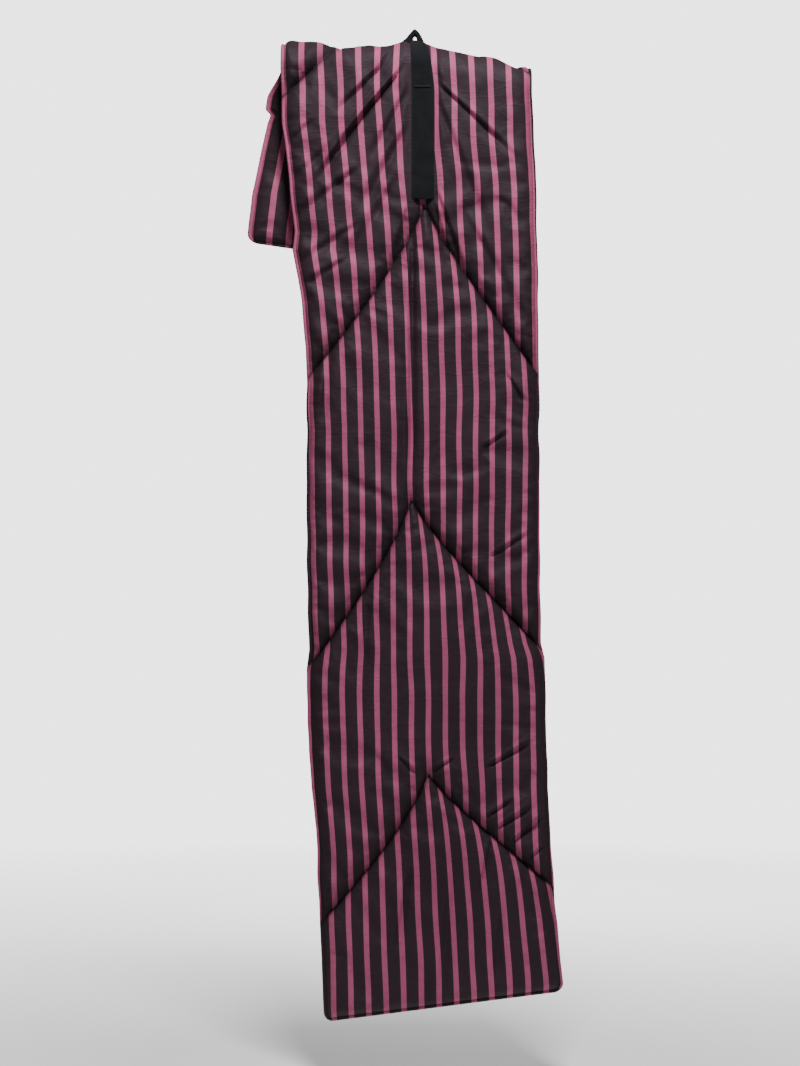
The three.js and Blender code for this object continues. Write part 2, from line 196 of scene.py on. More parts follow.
@dataclass
class HangingShape:
    """Where the middle of the quilt's thickness lies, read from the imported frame.

    A place on the cloth is a share of the width, 0 at the left, and a run: the distance along the
    cloth from the ridge of the fold, positive down the front and negative down the back.
    """

    side_names: tuple[str, str] = ("left", "right")
    outer: float = field(init=False)
    loft: float = field(init=False)

    def __post_init__(self) -> None:
        """Reads the outline, the ridge, the hems and the thickness."""
        low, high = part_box("shell_upper")
        _, lining_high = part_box("lining_middle")
        self.outer = float(high.y)
        self.loft = float(lining_high.y) - float(low.y)
        self.middle = self.outer - self.loft / 2
        self.quarter = self.middle * math.pi / 2
        self.front = [self._edge(side, -1) for side in self.side_names]
        self.back = [self._edge(side, 1) for side in self.side_names]
        ridge = node_points("shell_upper")
        ridge = ridge[np.abs(ridge[:, 1]) < 1e-4]
        ridge = ridge[ridge[:, 2] > float(high.z) - 0.06]
        tops = ridge[self._outermost(ridge)]
        left, right = tops[:, 0].min(), tops[:, 0].max()
        self._ridge = by_place((tops[:, 0] - left) / (right - left), tops[:, 2])
        self._hem = self._hem_curve("hem_seam")
        self._flap_hem = self._hem_curve("flap_hem_seam")

    @staticmethod
    def _outermost(points: np.ndarray) -> np.ndarray:
        """Indices of the highest point in each column of the ridge."""
        columns = np.round(points[:, 0], 3)
        return np.array([
            np.flatnonzero(columns == column)[np.argmax(points[columns == column, 2])]
            for column in np.unique(columns)
        ])

    def _edge(self, side: str, way: int) -> Curve:
        """The quilt's outline on one side, front or back, as x by level.

        Args:
            side: left or right.
            way: -1 for the front run and 1 for the back run.

        Returns:
            The outline.
        """
        names = ("upper", "middle", "lower") if way < 0 else ("upper", "back_flap")
        points = np.vstack([node_points(f"side_seam_{side}_{name}") for name in names])
        points = points[np.abs(points[:, 1] - way * self.outer) < 1e-4]
        levels = np.unique(np.round(points[:, 2], 4))
        pick = np.min if side == "left" else np.max
        values = np.array([pick(points[np.abs(points[:, 2] - z) < 2e-4, 0]) for z in levels])
        outline, trim = by_place(levels, values), by_place(*np.array(TRIMS[side, way]).T)
        return lambda level: outline(level) + trim(level)

    @staticmethod
    def _hem_curve(name: str, fuller: float = 0.0045) -> Curve:
        """A hem's lowest line, as level by share of the width, a little fuller than its node."""
        points = node_points(name)
        left, right = points[:, 0].min(), points[:, 0].max()
        start = points[points[:, 0] < left + 0.004, 2].min()
        end = points[points[:, 0] > right - 0.004, 2].min()
        return lambda share: start + (end - start) * np.asarray(share) - fuller

    def fold_centre(self, share: np.ndarray) -> np.ndarray:
        """Level of the fold's centre line at a share of the width."""
        return self._ridge(share) - self.outer

    def hem_run(self, share: np.ndarray) -> np.ndarray:
        """Run of the lower hem at a share of the width."""
        return self.quarter + self.fold_centre(share) - self._hem(share)

    def flap_run(self, share: np.ndarray) -> np.ndarray:
        """Run of the back flap's hem, as a positive distance, at a share of the width."""
        return self.quarter + self.fold_centre(share) - self._flap_hem(share)

    def run_at_level(self, share: np.ndarray, level: np.ndarray) -> np.ndarray:
        """Run of a level on the front."""
        return self.quarter + self.fold_centre(share) - level

    def _side(
        self, side: int, level: np.ndarray, behind: np.ndarray
    ) -> tuple[np.ndarray, np.ndarray]:
        """A side's outline without its sudden steps, and the steps by themselves.

        Args:
            side: 0 for left and 1 for right.
            level: Level.
            behind: 0 on the front and 1 on the back.

        Returns:
            The smooth outline and what has to be added to it.
        """
        curves = (self.front[side], self.back[side])
        exact, even = (
            [np.mean([curve(level + step) for step in steps], axis=0) for curve in curves]
            for steps in ([0.0], np.linspace(-0.09, 0.09, 11))
        )
        smooth = even[0] * (1 - behind) + even[1] * behind
        return smooth, exact[0] * (1 - behind) + exact[1] * behind - smooth

    def place(self, share: np.ndarray, run: np.ndarray) -> tuple[np.ndarray, np.ndarray]:
        """Where a place on the cloth hangs, and which way its shell looks.

        Args:
            share: Share of the width.
            run: Distance along the cloth from the ridge.

        Returns:
            Points and outward directions, one row each.
        """
        centre = self.fold_centre(share)
        angle = math.pi / 2 + np.clip(run, -self.quarter, self.quarter) / self.middle
        past = np.maximum(np.abs(run) - self.quarter, 0.0)
        y = self.middle * np.cos(angle)
        z = centre + self.middle * np.sin(angle) - past
        behind = ease(-run, 0.0, 2 * self.quarter)
        left, left_jog = self._side(0, z, behind)
        right, right_jog = self._side(1, z, behind)
        x = left + (right - left) * share + right_jog * share**5 + left_jog * (1 - share) ** 5
        out = np.stack([np.zeros_like(angle), np.cos(angle), np.sin(angle)], -1)
        return np.stack([x, y, z], -1), out


PULL_HEIGHT, PULL_X, PULL_WIDTH, PULL_LENGTH = 0.0115, -0.002, 0.034, 0.060


def drawn_up(x: np.ndarray, run: np.ndarray) -> np.ndarray:
    """How far the loop draws the cloth up near the ridge, in metres."""
    return PULL_HEIGHT * bell(x - PULL_X, PULL_WIDTH) * bell(run, PULL_LENGTH)


@dataclass(frozen=True)
class Seam:
    """A chevron quilting seam, apex up, as run by share of the width."""

    name: str
    apex_share: float
    apex_run: float
    left_run: float
    right_run: float
    bend: float = 0.77

    def run(self, share: np.ndarray) -> np.ndarray:
        """Run of the seam at a share of the width."""
        share = np.asarray(share, float)
        on_left = share < self.apex_share
        arm = np.where(
            on_left,
            (self.apex_share - share) / self.apex_share,
            (share - self.apex_share) / (1 - self.apex_share),
        )
        end = np.where(on_left, self.left_run, self.right_run)
        return self.apex_run + (end - self.apex_run) * np.clip(arm, 0, None) ** self.bend


def seam_from_node(shape: HangingShape, name: str, node: str) -> Seam:
    """Reads a seam on the front from its CAD node.

    Args:
        shape: The hanging shape.
        name: The seam's name.
        node: The CAD node.

    Returns:
        The seam.
    """
    points = node_points(node)
    apex = points[np.argmax(points[:, 2])]
    left = points[points[:, 0] < points[:, 0].min() + 0.002, 2].mean()
    right = points[points[:, 0] > points[:, 0].max() - 0.002, 2].mean()
    edge_left, edge_right = (float(edge(apex[2])) for edge in shape.front)
    share = (apex[0] - edge_left) / (edge_right - edge_left)
    return Seam(
        name,
        float(share),
        float(shape.run_at_level(share, apex[2])),
        float(shape.run_at_level(0.0, left)),
        float(shape.run_at_level(1.0, right)),
    )


# ---- folds laid on the hanging cloth -------------------------------------------------------------
@dataclass(frozen=True)
class Fold:
    """A soft crease in the shell, from one place to another, in metres on the front."""

    start: tuple[float, float]
    end: tuple[float, float]
    depth: float
    width: float
    lip: float = 0.45
    bow: float = 0.0

    def lift(self, x: np.ndarray, z: np.ndarray) -> np.ndarray:
        """How far the crease lifts the shell, negative in its valley.

        Args:
            x: Place across.
            z: Level.

        Returns:
            The lift in metres.
        """
        start, end = np.array(self.start), np.array(self.end)
        along = end - start
        length = float(np.hypot(*along))
        unit = along / length
        side = np.array([-unit[1], unit[0]]) * (1 if unit[0] >= 0 else -1)
        share = ((x - start[0]) * unit[0] + (z - start[1]) * unit[1]) / length
        across = (x - start[0]) * side[0] + (z - start[1]) * side[1]
        across = across - self.bow * np.sin(np.pi * np.clip(share, 0, 1))
        fade = ease(share, -0.12, 0.18) * (1 - ease(share, 0.72, 1.12))
        width = self.width * (0.55 + 0.75 * np.clip(share, 0, 1))
        valley = -bell(across, width)
        lips = self.lip * bell(across - 1.7 * width, 1.1 * width)
        return self.depth * fade * (valley + lips)


# The creases that the loop, the strap and the quilting pull into the front, as (x, level)
FOLDS = (
    Fold((-0.016, -0.016), (-0.128, -0.130), 0.0074, 0.0042, lip=0.8),
    Fold((-0.024, -0.066), (-0.166, -0.250), 0.0118, 0.0052, lip=0.9, bow=0.004),
    Fold((-0.010, -0.095), (-0.075, -0.215), 0.0066, 0.0070, lip=0.6),
    Fold((-0.012, -0.160), (-0.090, -0.300), 0.0076, 0.0090, lip=0.5),
    Fold((-0.110, -0.165), (-0.222, -0.262), 0.0034, 0.0065, lip=0.6),
    Fold((-0.100, -0.235), (-0.214, -0.325), 0.0060, 0.0080, lip=0.6),
    Fold((-0.175, -0.150), (-0.228, -0.200), 0.0040, 0.0055, lip=0.6),
    Fold((-0.100, -0.330), (-0.205, -0.400), 0.0045, 0.0070, lip=0.6),
    Fold((-0.120, -0.390), (-0.200, -0.440), 0.0040, 0.0060, lip=0.6),
    Fold((0.018, -0.026), (0.042, -0.088), 0.0060, 0.0040, lip=0.7),
    Fold((0.038, -0.086), (0.170, -0.212), 0.0055, 0.0050, lip=0.7),
    Fold((0.036, -0.110), (0.120, -0.330), 0.0045, 0.0075, lip=0.6),
    Fold((0.036, -0.270), (0.085, -0.420), 0.0065, 0.0050, lip=0.7),
    Fold((0.034, -0.292), (0.058, -0.400), 0.0060, 0.0045, lip=0.7),
    Fold((0.095, -0.330), (0.190, -0.500), 0.0050, 0.0100, lip=0.5),
    Fold((-0.010, -0.292), (-0.040, -0.420), 0.0060, 0.0055, lip=0.6),
    Fold((-0.030, -0.250), (-0.120, -0.400), 0.0055, 0.0110, lip=0.5),
    Fold((-0.004, -0.330), (-0.006, -0.800), 0.0125, 0.0060, lip=0.25),
    Fold((0.124, -1.262), (0.203, -1.219), 0.0056, 0.0034, lip=0.8),
    Fold((0.124, -1.348), (0.169, -1.319), 0.0060, 0.0034, lip=0.8),
    Fold((0.140, -1.368), (0.203, -1.331), 0.0060, 0.0036, lip=0.8),
    Fold((0.160, -1.400), (0.227, -1.342), 0.0058, 0.0036, lip=0.8),
    Fold((0.190, -1.424), (0.232, -1.393), 0.0046, 0.0028, lip=0.7),
    Fold((0.132, -1.388), (0.112, -1.479), 0.0064, 0.0046, lip=0.6),
    Fold((-0.009, -1.445), (-0.031, -1.582), 0.0064, 0.0060, lip=0.5),
    Fold((0.066, -1.248), (0.030, -1.272), 0.0050, 0.0030, lip=0.7),
    Fold((-0.028, -1.246), (0.004, -1.276), 0.0050, 0.0032, lip=0.7),
    Fold((0.119, -0.712), (0.160, -0.687), 0.0050, 0.0032, lip=0.7),
    Fold((0.130, -0.900), (0.200, -0.860), 0.0046, 0.0040, lip=0.7),
    Fold((0.157, -0.585), (0.182, -0.632), 0.0050, 0.0036, lip=0.7),
    Fold((0.060, -1.470), (0.045, -1.660), 0.0046, 0.0070, lip=0.4),
    Fold((0.152, -1.500), (0.137, -1.640), 0.0042, 0.0060, lip=0.4),
    Fold((-0.082, -0.980), (-0.095, -1.200), 0.0044, 0.0080, lip=0.4),
    Fold((-0.145, -0.520), (-0.160, -0.700), 0.0050, 0.0070, lip=0.5),
)


@dataclass(frozen=True)
class StripeLay:
    """Where the second and the fourteenth stripe lie in a chamber, as shares of the width."""

    second: tuple[float, float]
    fourteenth: tuple[float, float]

    def count(self, share: np.ndarray, down: np.ndarray) -> np.ndarray:
        """Number of the stripe at a place, whole at its middle.

        Args:
            share: Share of the width.
            down: 0 at the chamber's upper seam and 1 at its lower one.

        Returns:
            The stripe's number.
        """
        second = self.second[0] + (self.second[1] - self.second[0]) * down
        last = self.fourteenth[0] + (self.fourteenth[1] - self.fourteenth[0]) * down
        return 2.0 + 12.0 * (share - second) / (last - second)


STRIPE_PITCH = 0.0304

# How the stripes lie in each chamber, from the end of the back flap to the lower hem
CHAMBER_STRIPES = (
    StripeLay((0.083, 0.083), (0.975, 0.975)),
    StripeLay((0.083, 0.088), (0.978, 0.986)),
    StripeLay((0.089, 0.104), (0.942, 0.929)),
    StripeLay((0.078, 0.068), (0.951, 0.931)),
    StripeLay((0.052, 0.042), (0.930, 0.928)),
)

# How many stripes the seam above each chamber shifts them, just below it
STRIPE_JOGS = (0.0, 0.0, 0.12, 0.46, 0.40)


def graded(length: float, fine: float, coarse: float, reach: float, both: bool) -> np.ndarray:
    """Places from 0 to 1 along a length, closer together near its end, or near both ends.

    Args:
        length: The length in metres.
        fine: Spacing at the end.
        coarse: Spacing away from it.
        reach: How far from the end the spacing grows.
        both: Whether the start is fine too.

    Returns:
        The places, the first 0 and the last 1.
    """
    fine_places = np.linspace(0, length, 4000)
    from_end = length - fine_places
    if both:
        from_end = np.minimum(from_end, fine_places)
    density = 1 / (fine + (coarse - fine) * ease(from_end, 0.15 * reach, reach))
    growth = (density[1:] + density[:-1]) / 2 * np.diff(fine_places)
    count = np.concatenate([[0], np.cumsum(growth)])
    steps = int(round(count[-1]))
    return np.interp(np.linspace(0, count[-1], steps + 1), count, fine_places) / length


def smoothed(values: np.ndarray, width: float) -> np.ndarray:
    """A grid of values, blurred over a width in grid steps."""
    reach = int(3 * width)
    weights = np.exp(-0.5 * (np.arange(-reach, reach + 1) / width) ** 2)
    weights /= weights.sum()
    for _ in range(2):
        padded = np.pad(values, ((reach, reach), (0, 0)), mode="reflect")
        values = sum(w * padded[i:i + values.shape[0]] for i, w in enumerate(weights)).T
    return values


@dataclass
class BlownSheet:
    """Folds of the cloth, found by blowing up a flat sheet that is held along its stitching."""

    width: float
    columns: int = 66
    rows: int = 330
    growth: float = 0.035
    hold: float = 0.02
    bending: float = 4.0
    pressure: float = 3.0
    frames: int = 16
    blur: float = 3.6
    limit: float = 0.0042
    stitch: float = 0.0045
    still: float = 0.97
    ring: float = 0.003
    rings: float = 0.12

    def folds(self, height: np.ndarray, run: np.ndarray, gap: np.ndarray) -> np.ndarray:
        """Runs the simulation and keeps its folds without its broad swelling.

        Args:
            height: Height of the sheet before it is blown up, on the sheet's grid.
            run: Distance along the cloth.
            gap: Distance from the nearest stitching.

        Returns:
            The folds' height on the sheet's grid.
        """
        sewn = gap < self.stitch
        blown = self._simulate(height, run, sewn)
        free = 1.0 - self.still * sewn
        folds = blown - smoothed(blown * free, self.blur) / smoothed(free, self.blur)
        step = self.ring
        places = np.arange(0.0, self.rings, step)
        levels = [folds[(gap >= low) & (gap < low + step)] for low in places]
        means = np.array([level.mean() if level.size else 0.0 for level in levels])
        folds = folds - np.interp(gap, places + step / 2, means)
        return self.limit * np.tanh(folds / self.limit)

    def _simulate(self, height: np.ndarray, run: np.ndarray, sewn: np.ndarray) -> np.ndarray:
        """Heights of the sheet once it is blown up."""
        wide = self.columns + 1
        across = np.broadcast_to(np.linspace(0, self.width, wide), height.shape)
        points = np.stack([across, -height, -run], -1).reshape(-1, 3)
        corner = [r * wide + c for r in range(self.rows) for c in range(self.columns)]
        mesh = bpy.data.meshes.new("sheet")
        mesh.from_pydata(points.tolist(), [], [(a, a + wide, a + wide + 1, a + 1) for a in corner])
        sheet = put_in("sheet", mesh)
        scene = bpy.context.scene
        held = sheet.vertex_groups.new(name="held")
        held.add(np.flatnonzero(sewn.ravel()).tolist(), 1.0, "REPLACE")
        held.add(np.flatnonzero(~sewn.ravel()).tolist(), self.hold, "REPLACE")
        cloth = sheet.modifiers.new("cloth", "CLOTH")
        settings = cloth.settings
        settings.quality, settings.mass = 5, 0.15
        settings.tension_stiffness, settings.compression_stiffness = 15, 15
        settings.shear_stiffness, settings.bending_stiffness = 5, self.bending
        settings.vertex_group_mass, settings.pin_stiffness = held.name, 1.0
        settings.shrink_min = -self.growth
        settings.use_pressure, settings.uniform_pressure_force = True, self.pressure
        settings.effector_weights.gravity = 0
        cloth.collision_settings.use_collision = False
        cloth.collision_settings.use_self_collision = False
        cloth.point_cache.frame_start, cloth.point_cache.frame_end = 1, self.frames
        for number in range(1, self.frames + 1):
            scene.frame_set(number)
        blown = sheet.evaluated_get(bpy.context.evaluated_depsgraph_get()).data
        result = np.zeros(len(blown.vertices) * 3)
        blown.vertices.foreach_get("co", result)
        scene.frame_set(1)
        bpy.data.objects.remove(sheet)
        bpy.data.meshes.remove(mesh)
        return -result.reshape(-1, 3)[:, 1].reshape(height.shape)

    def sample(self, values: np.ndarray, across: np.ndarray, down: np.ndarray) -> np.ndarray:
        """Values of the sheet's grid at places between its corners, smoothly.

        Args:
            values: The grid's values.
            across: Place from 0 to 1 across the sheet.
            down: Place from 0 to 1 down the sheet.

        Returns:
            The values.
        """
        x = np.clip(across, 0, 1) * self.columns
        y = np.clip(down, 0, 1) * self.rows
        column, row = np.floor(x).astype(int), np.floor(y).astype(int)
        total = np.zeros_like(x)
        for i in range(-1, 3):
            for j in range(-1, 3):
                c = np.clip(column + i, 0, self.columns)
                r = np.clip(row + j, 0, self.rows)
                total += values[r, c] * self._weight(x - column - i) * self._weight(y - row - j)
        return total

    @staticmethod
    def _weight(distance: np.ndarray) -> np.ndarray:
        """Weight of a corner in a smooth curve through the corners, by its distance."""
        d = np.abs(distance)
        near = 1 - 2.5 * d**2 + 1.5 * d**3
        far = 2 - 4 * d + 2.5 * d**2 - 0.5 * d**3
        return np.where(d < 1, near, np.where(d < 2, far, 0.0))


class QuiltCloth:
    """The quilt's two skins, puffed between their seams, as one closed cloth cut into stretches."""

    FLAT_WIDTH = 0.405
    FINE, COARSE = 0.0010, 0.0034
    PUFF, LINING_PUFF = 0.0162, 0.0132
    SEAM_GAP = 0.0006
    SEAM_REACH, SIDE_REACH = 0.036, 0.024
    BAND, BAND_RISE = 0.0056, 0.0021
    CORNER = 0.016
    WRINKLE, PUCKER = 0.0007, 0.0014
    LINING_GAIN = 0.6
    SWAY = 0.0014
    RIDGE_LIFT, RIDGE_END_LIFT, RIDGE_END, RIDGE_REACH = 0.0005, 0.0135, 0.032, 0.034
    STRAP_ROOM, STRAP_EASE, STRAP_GAP = 0.003, 0.012, 0.0012
    THREAD_LIFT = 0.0004
    SHEET_PUFF, SHEET_UNEVEN, SHEET_REACH, SHEET_HEM = 0.012, 0.0012, (0.024, 0.019), 0.0015
    # Painted shade near the seams: strength and reach above a seam, strength and reach below it,
    # and the width of the full-dark line along it.
    SHADE_ABOVE, SHADE_BELOW, SHADE_LINE = (0.50, 0.036), (0.22, 0.018), 0.006
    SEARCH, SEARCH_STEP = 0.060, 0.0015
    SIDE_GRADE, HEM_FINE, HEM_GRADE = 0.026, 0.0014, 0.020
    LOWEST = -0.0015
    SEAM_WAVES, EDGE_WAVES = (0.0105, 0.0056), (0.0115, 0.0062)
    BROAD_WAVES = ((0.060, 0.021), (0.033, 0.012))
    SLANT_LEVELS, BUSY_LEVELS = (-0.75, -0.25), (-0.55, -0.15)
    STRIPE_DRIFT = 0.0022
    JOG_REACH = 0.045

    def __init__(self, shape: HangingShape, seed: int = 7) -> None:
        """Lays out the grid, the seams and the heights.

        Args:
            shape: Where the middle of the quilt hangs.
            seed: Seed of the wrinkles.
        """
        self.shape = shape
        self.noise, self.fine = Noise(seed), Noise(seed + 1)
        self.seams = [
            Seam("top", apex_share=0.543, apex_run=-0.170, left_run=0.097, right_run=0.0215),
            seam_from_node(shape, "upper", "quilting_seam_upper"),
            seam_from_node(shape, "middle", "quilting_seam_middle"),
            seam_from_node(shape, "lower", "quilting_seam_lower"),
        ]
        self.across_table = graded(
            self.FLAT_WIDTH, self.FINE, self.COARSE, self.SIDE_GRADE, True
        )
        back, front = (
            graded(float(length), self.HEM_FINE, self.COARSE, self.HEM_GRADE, False)
            for length in (shape.flap_run(0.5), shape.hem_run(0.5))
        )
        self.down_table = np.concatenate([-back[::-1], front[1:]])
        self.ridge_row = len(back) - 1
        self.columns, self.rows = len(self.across_table) - 1, len(self.down_table) - 1
        self.column, self.row = np.meshgrid(
            np.arange(self.columns + 1.0), np.arange(self.rows + 1.0)
        )
        self.chains = [self._snap(seam) for seam in self.seams]
        self.share = self._share(self.column)
        self.run = self._run(self.share, self.row)
        self.shell, self.lining = self._hang()

    def _share(self, column: np.ndarray) -> np.ndarray:
        """Share of the width of a grid column."""
        return np.interp(column, np.arange(self.columns + 1), self.across_table)

    def _run(self, share: np.ndarray, row: np.ndarray) -> np.ndarray:
        """Run of a grid row."""
        place = np.interp(row, np.arange(self.rows + 1), self.down_table)
        flap, hem = self.shape.flap_run(share), self.shape.hem_run(share)
        return np.where(place < 0, place * flap, place * hem)

    def _row(self, share: np.ndarray, run: np.ndarray) -> np.ndarray:
        """Grid row of a run, the other way round."""
        place = np.where(run < 0, run / self.shape.flap_run(share), run / self.shape.hem_run(share))
        return np.interp(place, self.down_table, np.arange(self.rows + 1))

    def _snap(self, seam: Seam) -> list[tuple[int, int]]:
        """Moves the grid's nearest corners onto a seam.

        Args:
            seam: The seam.

        Returns:
            The corners in order, as (row, column), each next to the one before.
        """
        apex = np.interp(seam.apex_share, self.across_table, np.arange(self.columns + 1))
        column = np.union1d(np.linspace(0, self.columns, 9001), [apex])
        share = self._share(column)
        row = self._row(share, seam.run(share))
        corners: list[tuple[int, int]] = []
        near: dict[tuple[int, int], tuple[float, int]] = {}
        for index, (i, j) in enumerate(zip(column, row)):
            corner = (int(round(j)), int(round(i)))
            gap = (i - corner[1]) ** 2 + (j - corner[0]) ** 2 if i != apex else -1.0
            if corner not in near:
                corners.append(corner)
            if gap < near.get(corner, (np.inf, 0))[0]:
                near[corner] = (gap, index)
        chain: list[tuple[int, int]] = []
        for corner in corners:
            while len(chain) > 1 and self._touch(chain[-2], corner):
                chain.pop()
            chain.append(corner)
        for corner in chain:
            index = near[corner][1]
            if 0 < corner[1] < self.columns:
                self.column[corner] = column[index]
                self.row[corner] = row[index]
            else:
                self.row[corner] = row[0 if corner[1] == 0 else -1]
        return chain

    @staticmethod
    def _touch(one: tuple[int, int], other: tuple[int, int]) -> bool:
        """Whether two corners share a cell."""
        return abs(one[0] - other[0]) <= 1 and abs(one[1] - other[1]) <= 1

    def _distance(
        self, seam: Seam, at_share: np.ndarray, run: np.ndarray
    ) -> tuple[np.ndarray, np.ndarray, np.ndarray]:
        """How far places lie from a seam on the flat cloth.

        Args:
            seam: The seam.
            at_share: Share of the width.
            run: Distance along the cloth.

        Returns:
            The distance, the place along the seam, and 1 below it or -1 above it.
        """
        best = np.full(at_share.shape, np.inf)
        along = np.zeros(at_share.shape)
        shares = np.linspace(0, 1, 401)
        steps = np.hypot(np.diff(shares) * self.FLAT_WIDTH, np.diff(seam.run(shares)))
        lengths = np.concatenate([[0.0], np.cumsum(steps)])
        for step in np.arange(-self.SEARCH, self.SEARCH + 1e-4, self.SEARCH_STEP):
            share = np.clip(at_share + step / self.FLAT_WIDTH, 0, 1)
            gap = np.hypot((share - at_share) * self.FLAT_WIDTH, run - seam.run(share))
            closer = gap < best
            best = np.where(closer, gap, best)
            along = np.where(closer, np.interp(share, shares, lengths), along)
        below = np.where(run >= seam.run(at_share), 1.0, -1.0)
        return best, along, below

    @staticmethod
    def _swell(distance: np.ndarray, reach: float) -> np.ndarray:
        """Rounded rise of a pad from a sewn line, 0 at the line and 1 past its reach."""
        return (1 - (1 - np.clip(distance / reach, 0, 1)) ** 2.4) ** 0.72

    def _side_distance(self, share: np.ndarray) -> np.ndarray:
        """Distance of places from the nearer side of the quilt."""
        across = share * self.FLAT_WIDTH
        return np.minimum(across, self.FLAT_WIDTH - across)

    def _edge_distance(self, share: np.ndarray, run: np.ndarray) -> np.ndarray:
        """Distance of places from the nearest edge of the quilt."""
        hem = np.minimum(self.shape.hem_run(share) - run, run + self.shape.flap_run(share))
        return np.minimum(self._side_distance(share), hem)

    def _border(self) -> np.ndarray:
        """Which corners of the grid lie on its border."""
        border = np.zeros(self.share.shape, bool)
        border[0], border[-1], border[:, 0], border[:, -1] = True, True, True, True
        return border

    def _puckers(self, edge: np.ndarray, near: list) -> np.ndarray:
        """Short gathers that run away from the seams and the side stitching.

        Args:
            edge: Distance from the edge.
            near: Distance, place along and side of each seam.

        Returns:
            The gathers' height.
        """
        pull = np.zeros_like(edge)
        for number, (gap, along, below) in enumerate(near):
            first = along / self.SEAM_WAVES[0] + 37 * number
            wave = self.fine(first, below * 3.3 + gap / 0.035)
            wave = wave + 0.6 * self.fine(along / self.SEAM_WAVES[1] + 11 * number, below * 9.1)
            pull += self.PUCKER * wave * bell(gap - 0.011, 0.012) * (1.2 - 0.3 * below)
        left = self.share < 0.5
        wave = self.fine(self.run / self.EDGE_WAVES[0], np.where(left, 3.0, 71.0) + edge / 0.05)
        wave = wave + 0.7 * self.fine(self.run / self.EDGE_WAVES[1], np.where(left, 21.0, 91.0))
        reach = np.where(left, 1.25, 0.9)
        return pull + reach * self.PUCKER * wave * bell(edge - self.BAND - 0.008, 0.011)

    def _broad_wrinkles(self, points: np.ndarray) -> np.ndarray:
        """Wrinkles away from the seams, slanting towards the loop in the upper part."""
        x, z = points[..., 0], points[..., 2]
        slant = np.where(x < 0, 1.0, -0.55) * ease(z, *self.SLANT_LEVELS)
        along = z + slant * x
        other = x - slant * z
        (wide, high), (small_wide, small_high) = self.BROAD_WAVES
        wave = self.noise(other / wide, along / high)
        wave = wave + 0.55 * self.noise(other / small_wide + 50, along / small_high + 20)
        strength = 0.75 + 0.65 * ease(z, *self.BUSY_LEVELS) + 0.35 * np.abs(x) / 0.2
        return self.WRINKLE * wave * strength

    def _heights(self, middle: np.ndarray) -> tuple[np.ndarray, np.ndarray]:
        """Height of the shell and of the lining over the middle of the quilt.

        Args:
            middle: Where the middle lies.

        Returns:
            The two heights in metres.
        """
        edge = self._edge_distance(self.share, self.run)
        near = [self._distance(seam, self.share, self.run) for seam in self.seams]
        gap = np.min([distance for distance, _, _ in near], axis=0)
        # Painted shade: the crease value darkens the cloth's colour along each seam, widely just
        # above it where the puff faces down and narrowly below it, standing in for the shade the
        # light would cast there.
        above = np.all([(distance > gap) | (way < 0) for distance, _, way in near], axis=0)
        upper, lower = (
            strength * (1 - gap / reach) for strength, reach in (self.SHADE_ABOVE, self.SHADE_BELOW)
        )
        painted_hollow_shade = np.where(above, upper, lower)
        self.crease = np.clip(np.maximum(1 - gap / self.SHADE_LINE, painted_hollow_shade), 0, 1)
        swell = self._swell(gap, self.SEAM_REACH) * self._swell(edge - self.BAND, self.SIDE_REACH)
        round_band = 1 - np.clip(2 * edge / self.BAND - 1, -1, 1) ** 2
        band = self.BAND_RISE * np.sqrt(np.where(edge < self.BAND, round_band, 0.0))
        pull = self._puckers(edge, near)
        broad = self._broad_wrinkles(middle)
        blown, mirrored = self._blown_folds()
        on_front = ease(self.run, self.shape.quarter * 0.2, self.shape.quarter * 1.1)
        folds = sum(fold.lift(middle[..., 0], middle[..., 2]) for fold in FOLDS) * on_front
        folds = folds * (0.35 + 0.65 * swell) * ease(edge, 0.0, 0.012)
        base = self.SEAM_GAP + band
        mirrored = mirrored * self.LINING_GAIN
        shell = base + swell * (self.PUFF + broad + pull + blown) + folds
        rise = self.LINING_PUFF - 0.7 * broad + 0.8 * pull + mirrored
        lining = base + swell * rise - 0.5 * folds
        return np.maximum(shell, self.LOWEST), np.maximum(lining, self.SEAM_GAP)

    def _blown_folds(self) -> tuple[np.ndarray, np.ndarray]:
        """Folds of the blown-up sheet on the shell, and the same turned over on the lining."""
        sheet = BlownSheet(self.FLAT_WIDTH)
        share, down = np.meshgrid(
            np.linspace(0, 1, sheet.columns + 1), np.linspace(0, 1, sheet.rows + 1)
        )
        flap, hem = self.shape.flap_run(share), self.shape.hem_run(share)
        run = -flap + down * (flap + hem)
        gap = np.min([self._distance(seam, share, run)[0] for seam in self.seams], axis=0)
        edge = self._edge_distance(share, run)
        height = self._swell(gap, self.SHEET_REACH[0])
        height = height * self._swell(edge - self.BAND, self.SHEET_REACH[1])
        uneven = self.noise(share * self.FLAT_WIDTH / 0.05, run / 0.03)
        height = height * (self.SHEET_PUFF + self.SHEET_UNEVEN * uneven)
        held = np.maximum(edge - self.SHEET_HEM, 0.0)
        folds = sheet.folds(height, run, np.minimum(gap, held))
        flap, hem = self.shape.flap_run(self.share), self.shape.hem_run(self.share)
        down = (self.run + flap) / (flap + hem)
        return (
            sheet.sample(folds, self.share, down),
            sheet.sample(folds, 1 - self.share, down),
        )

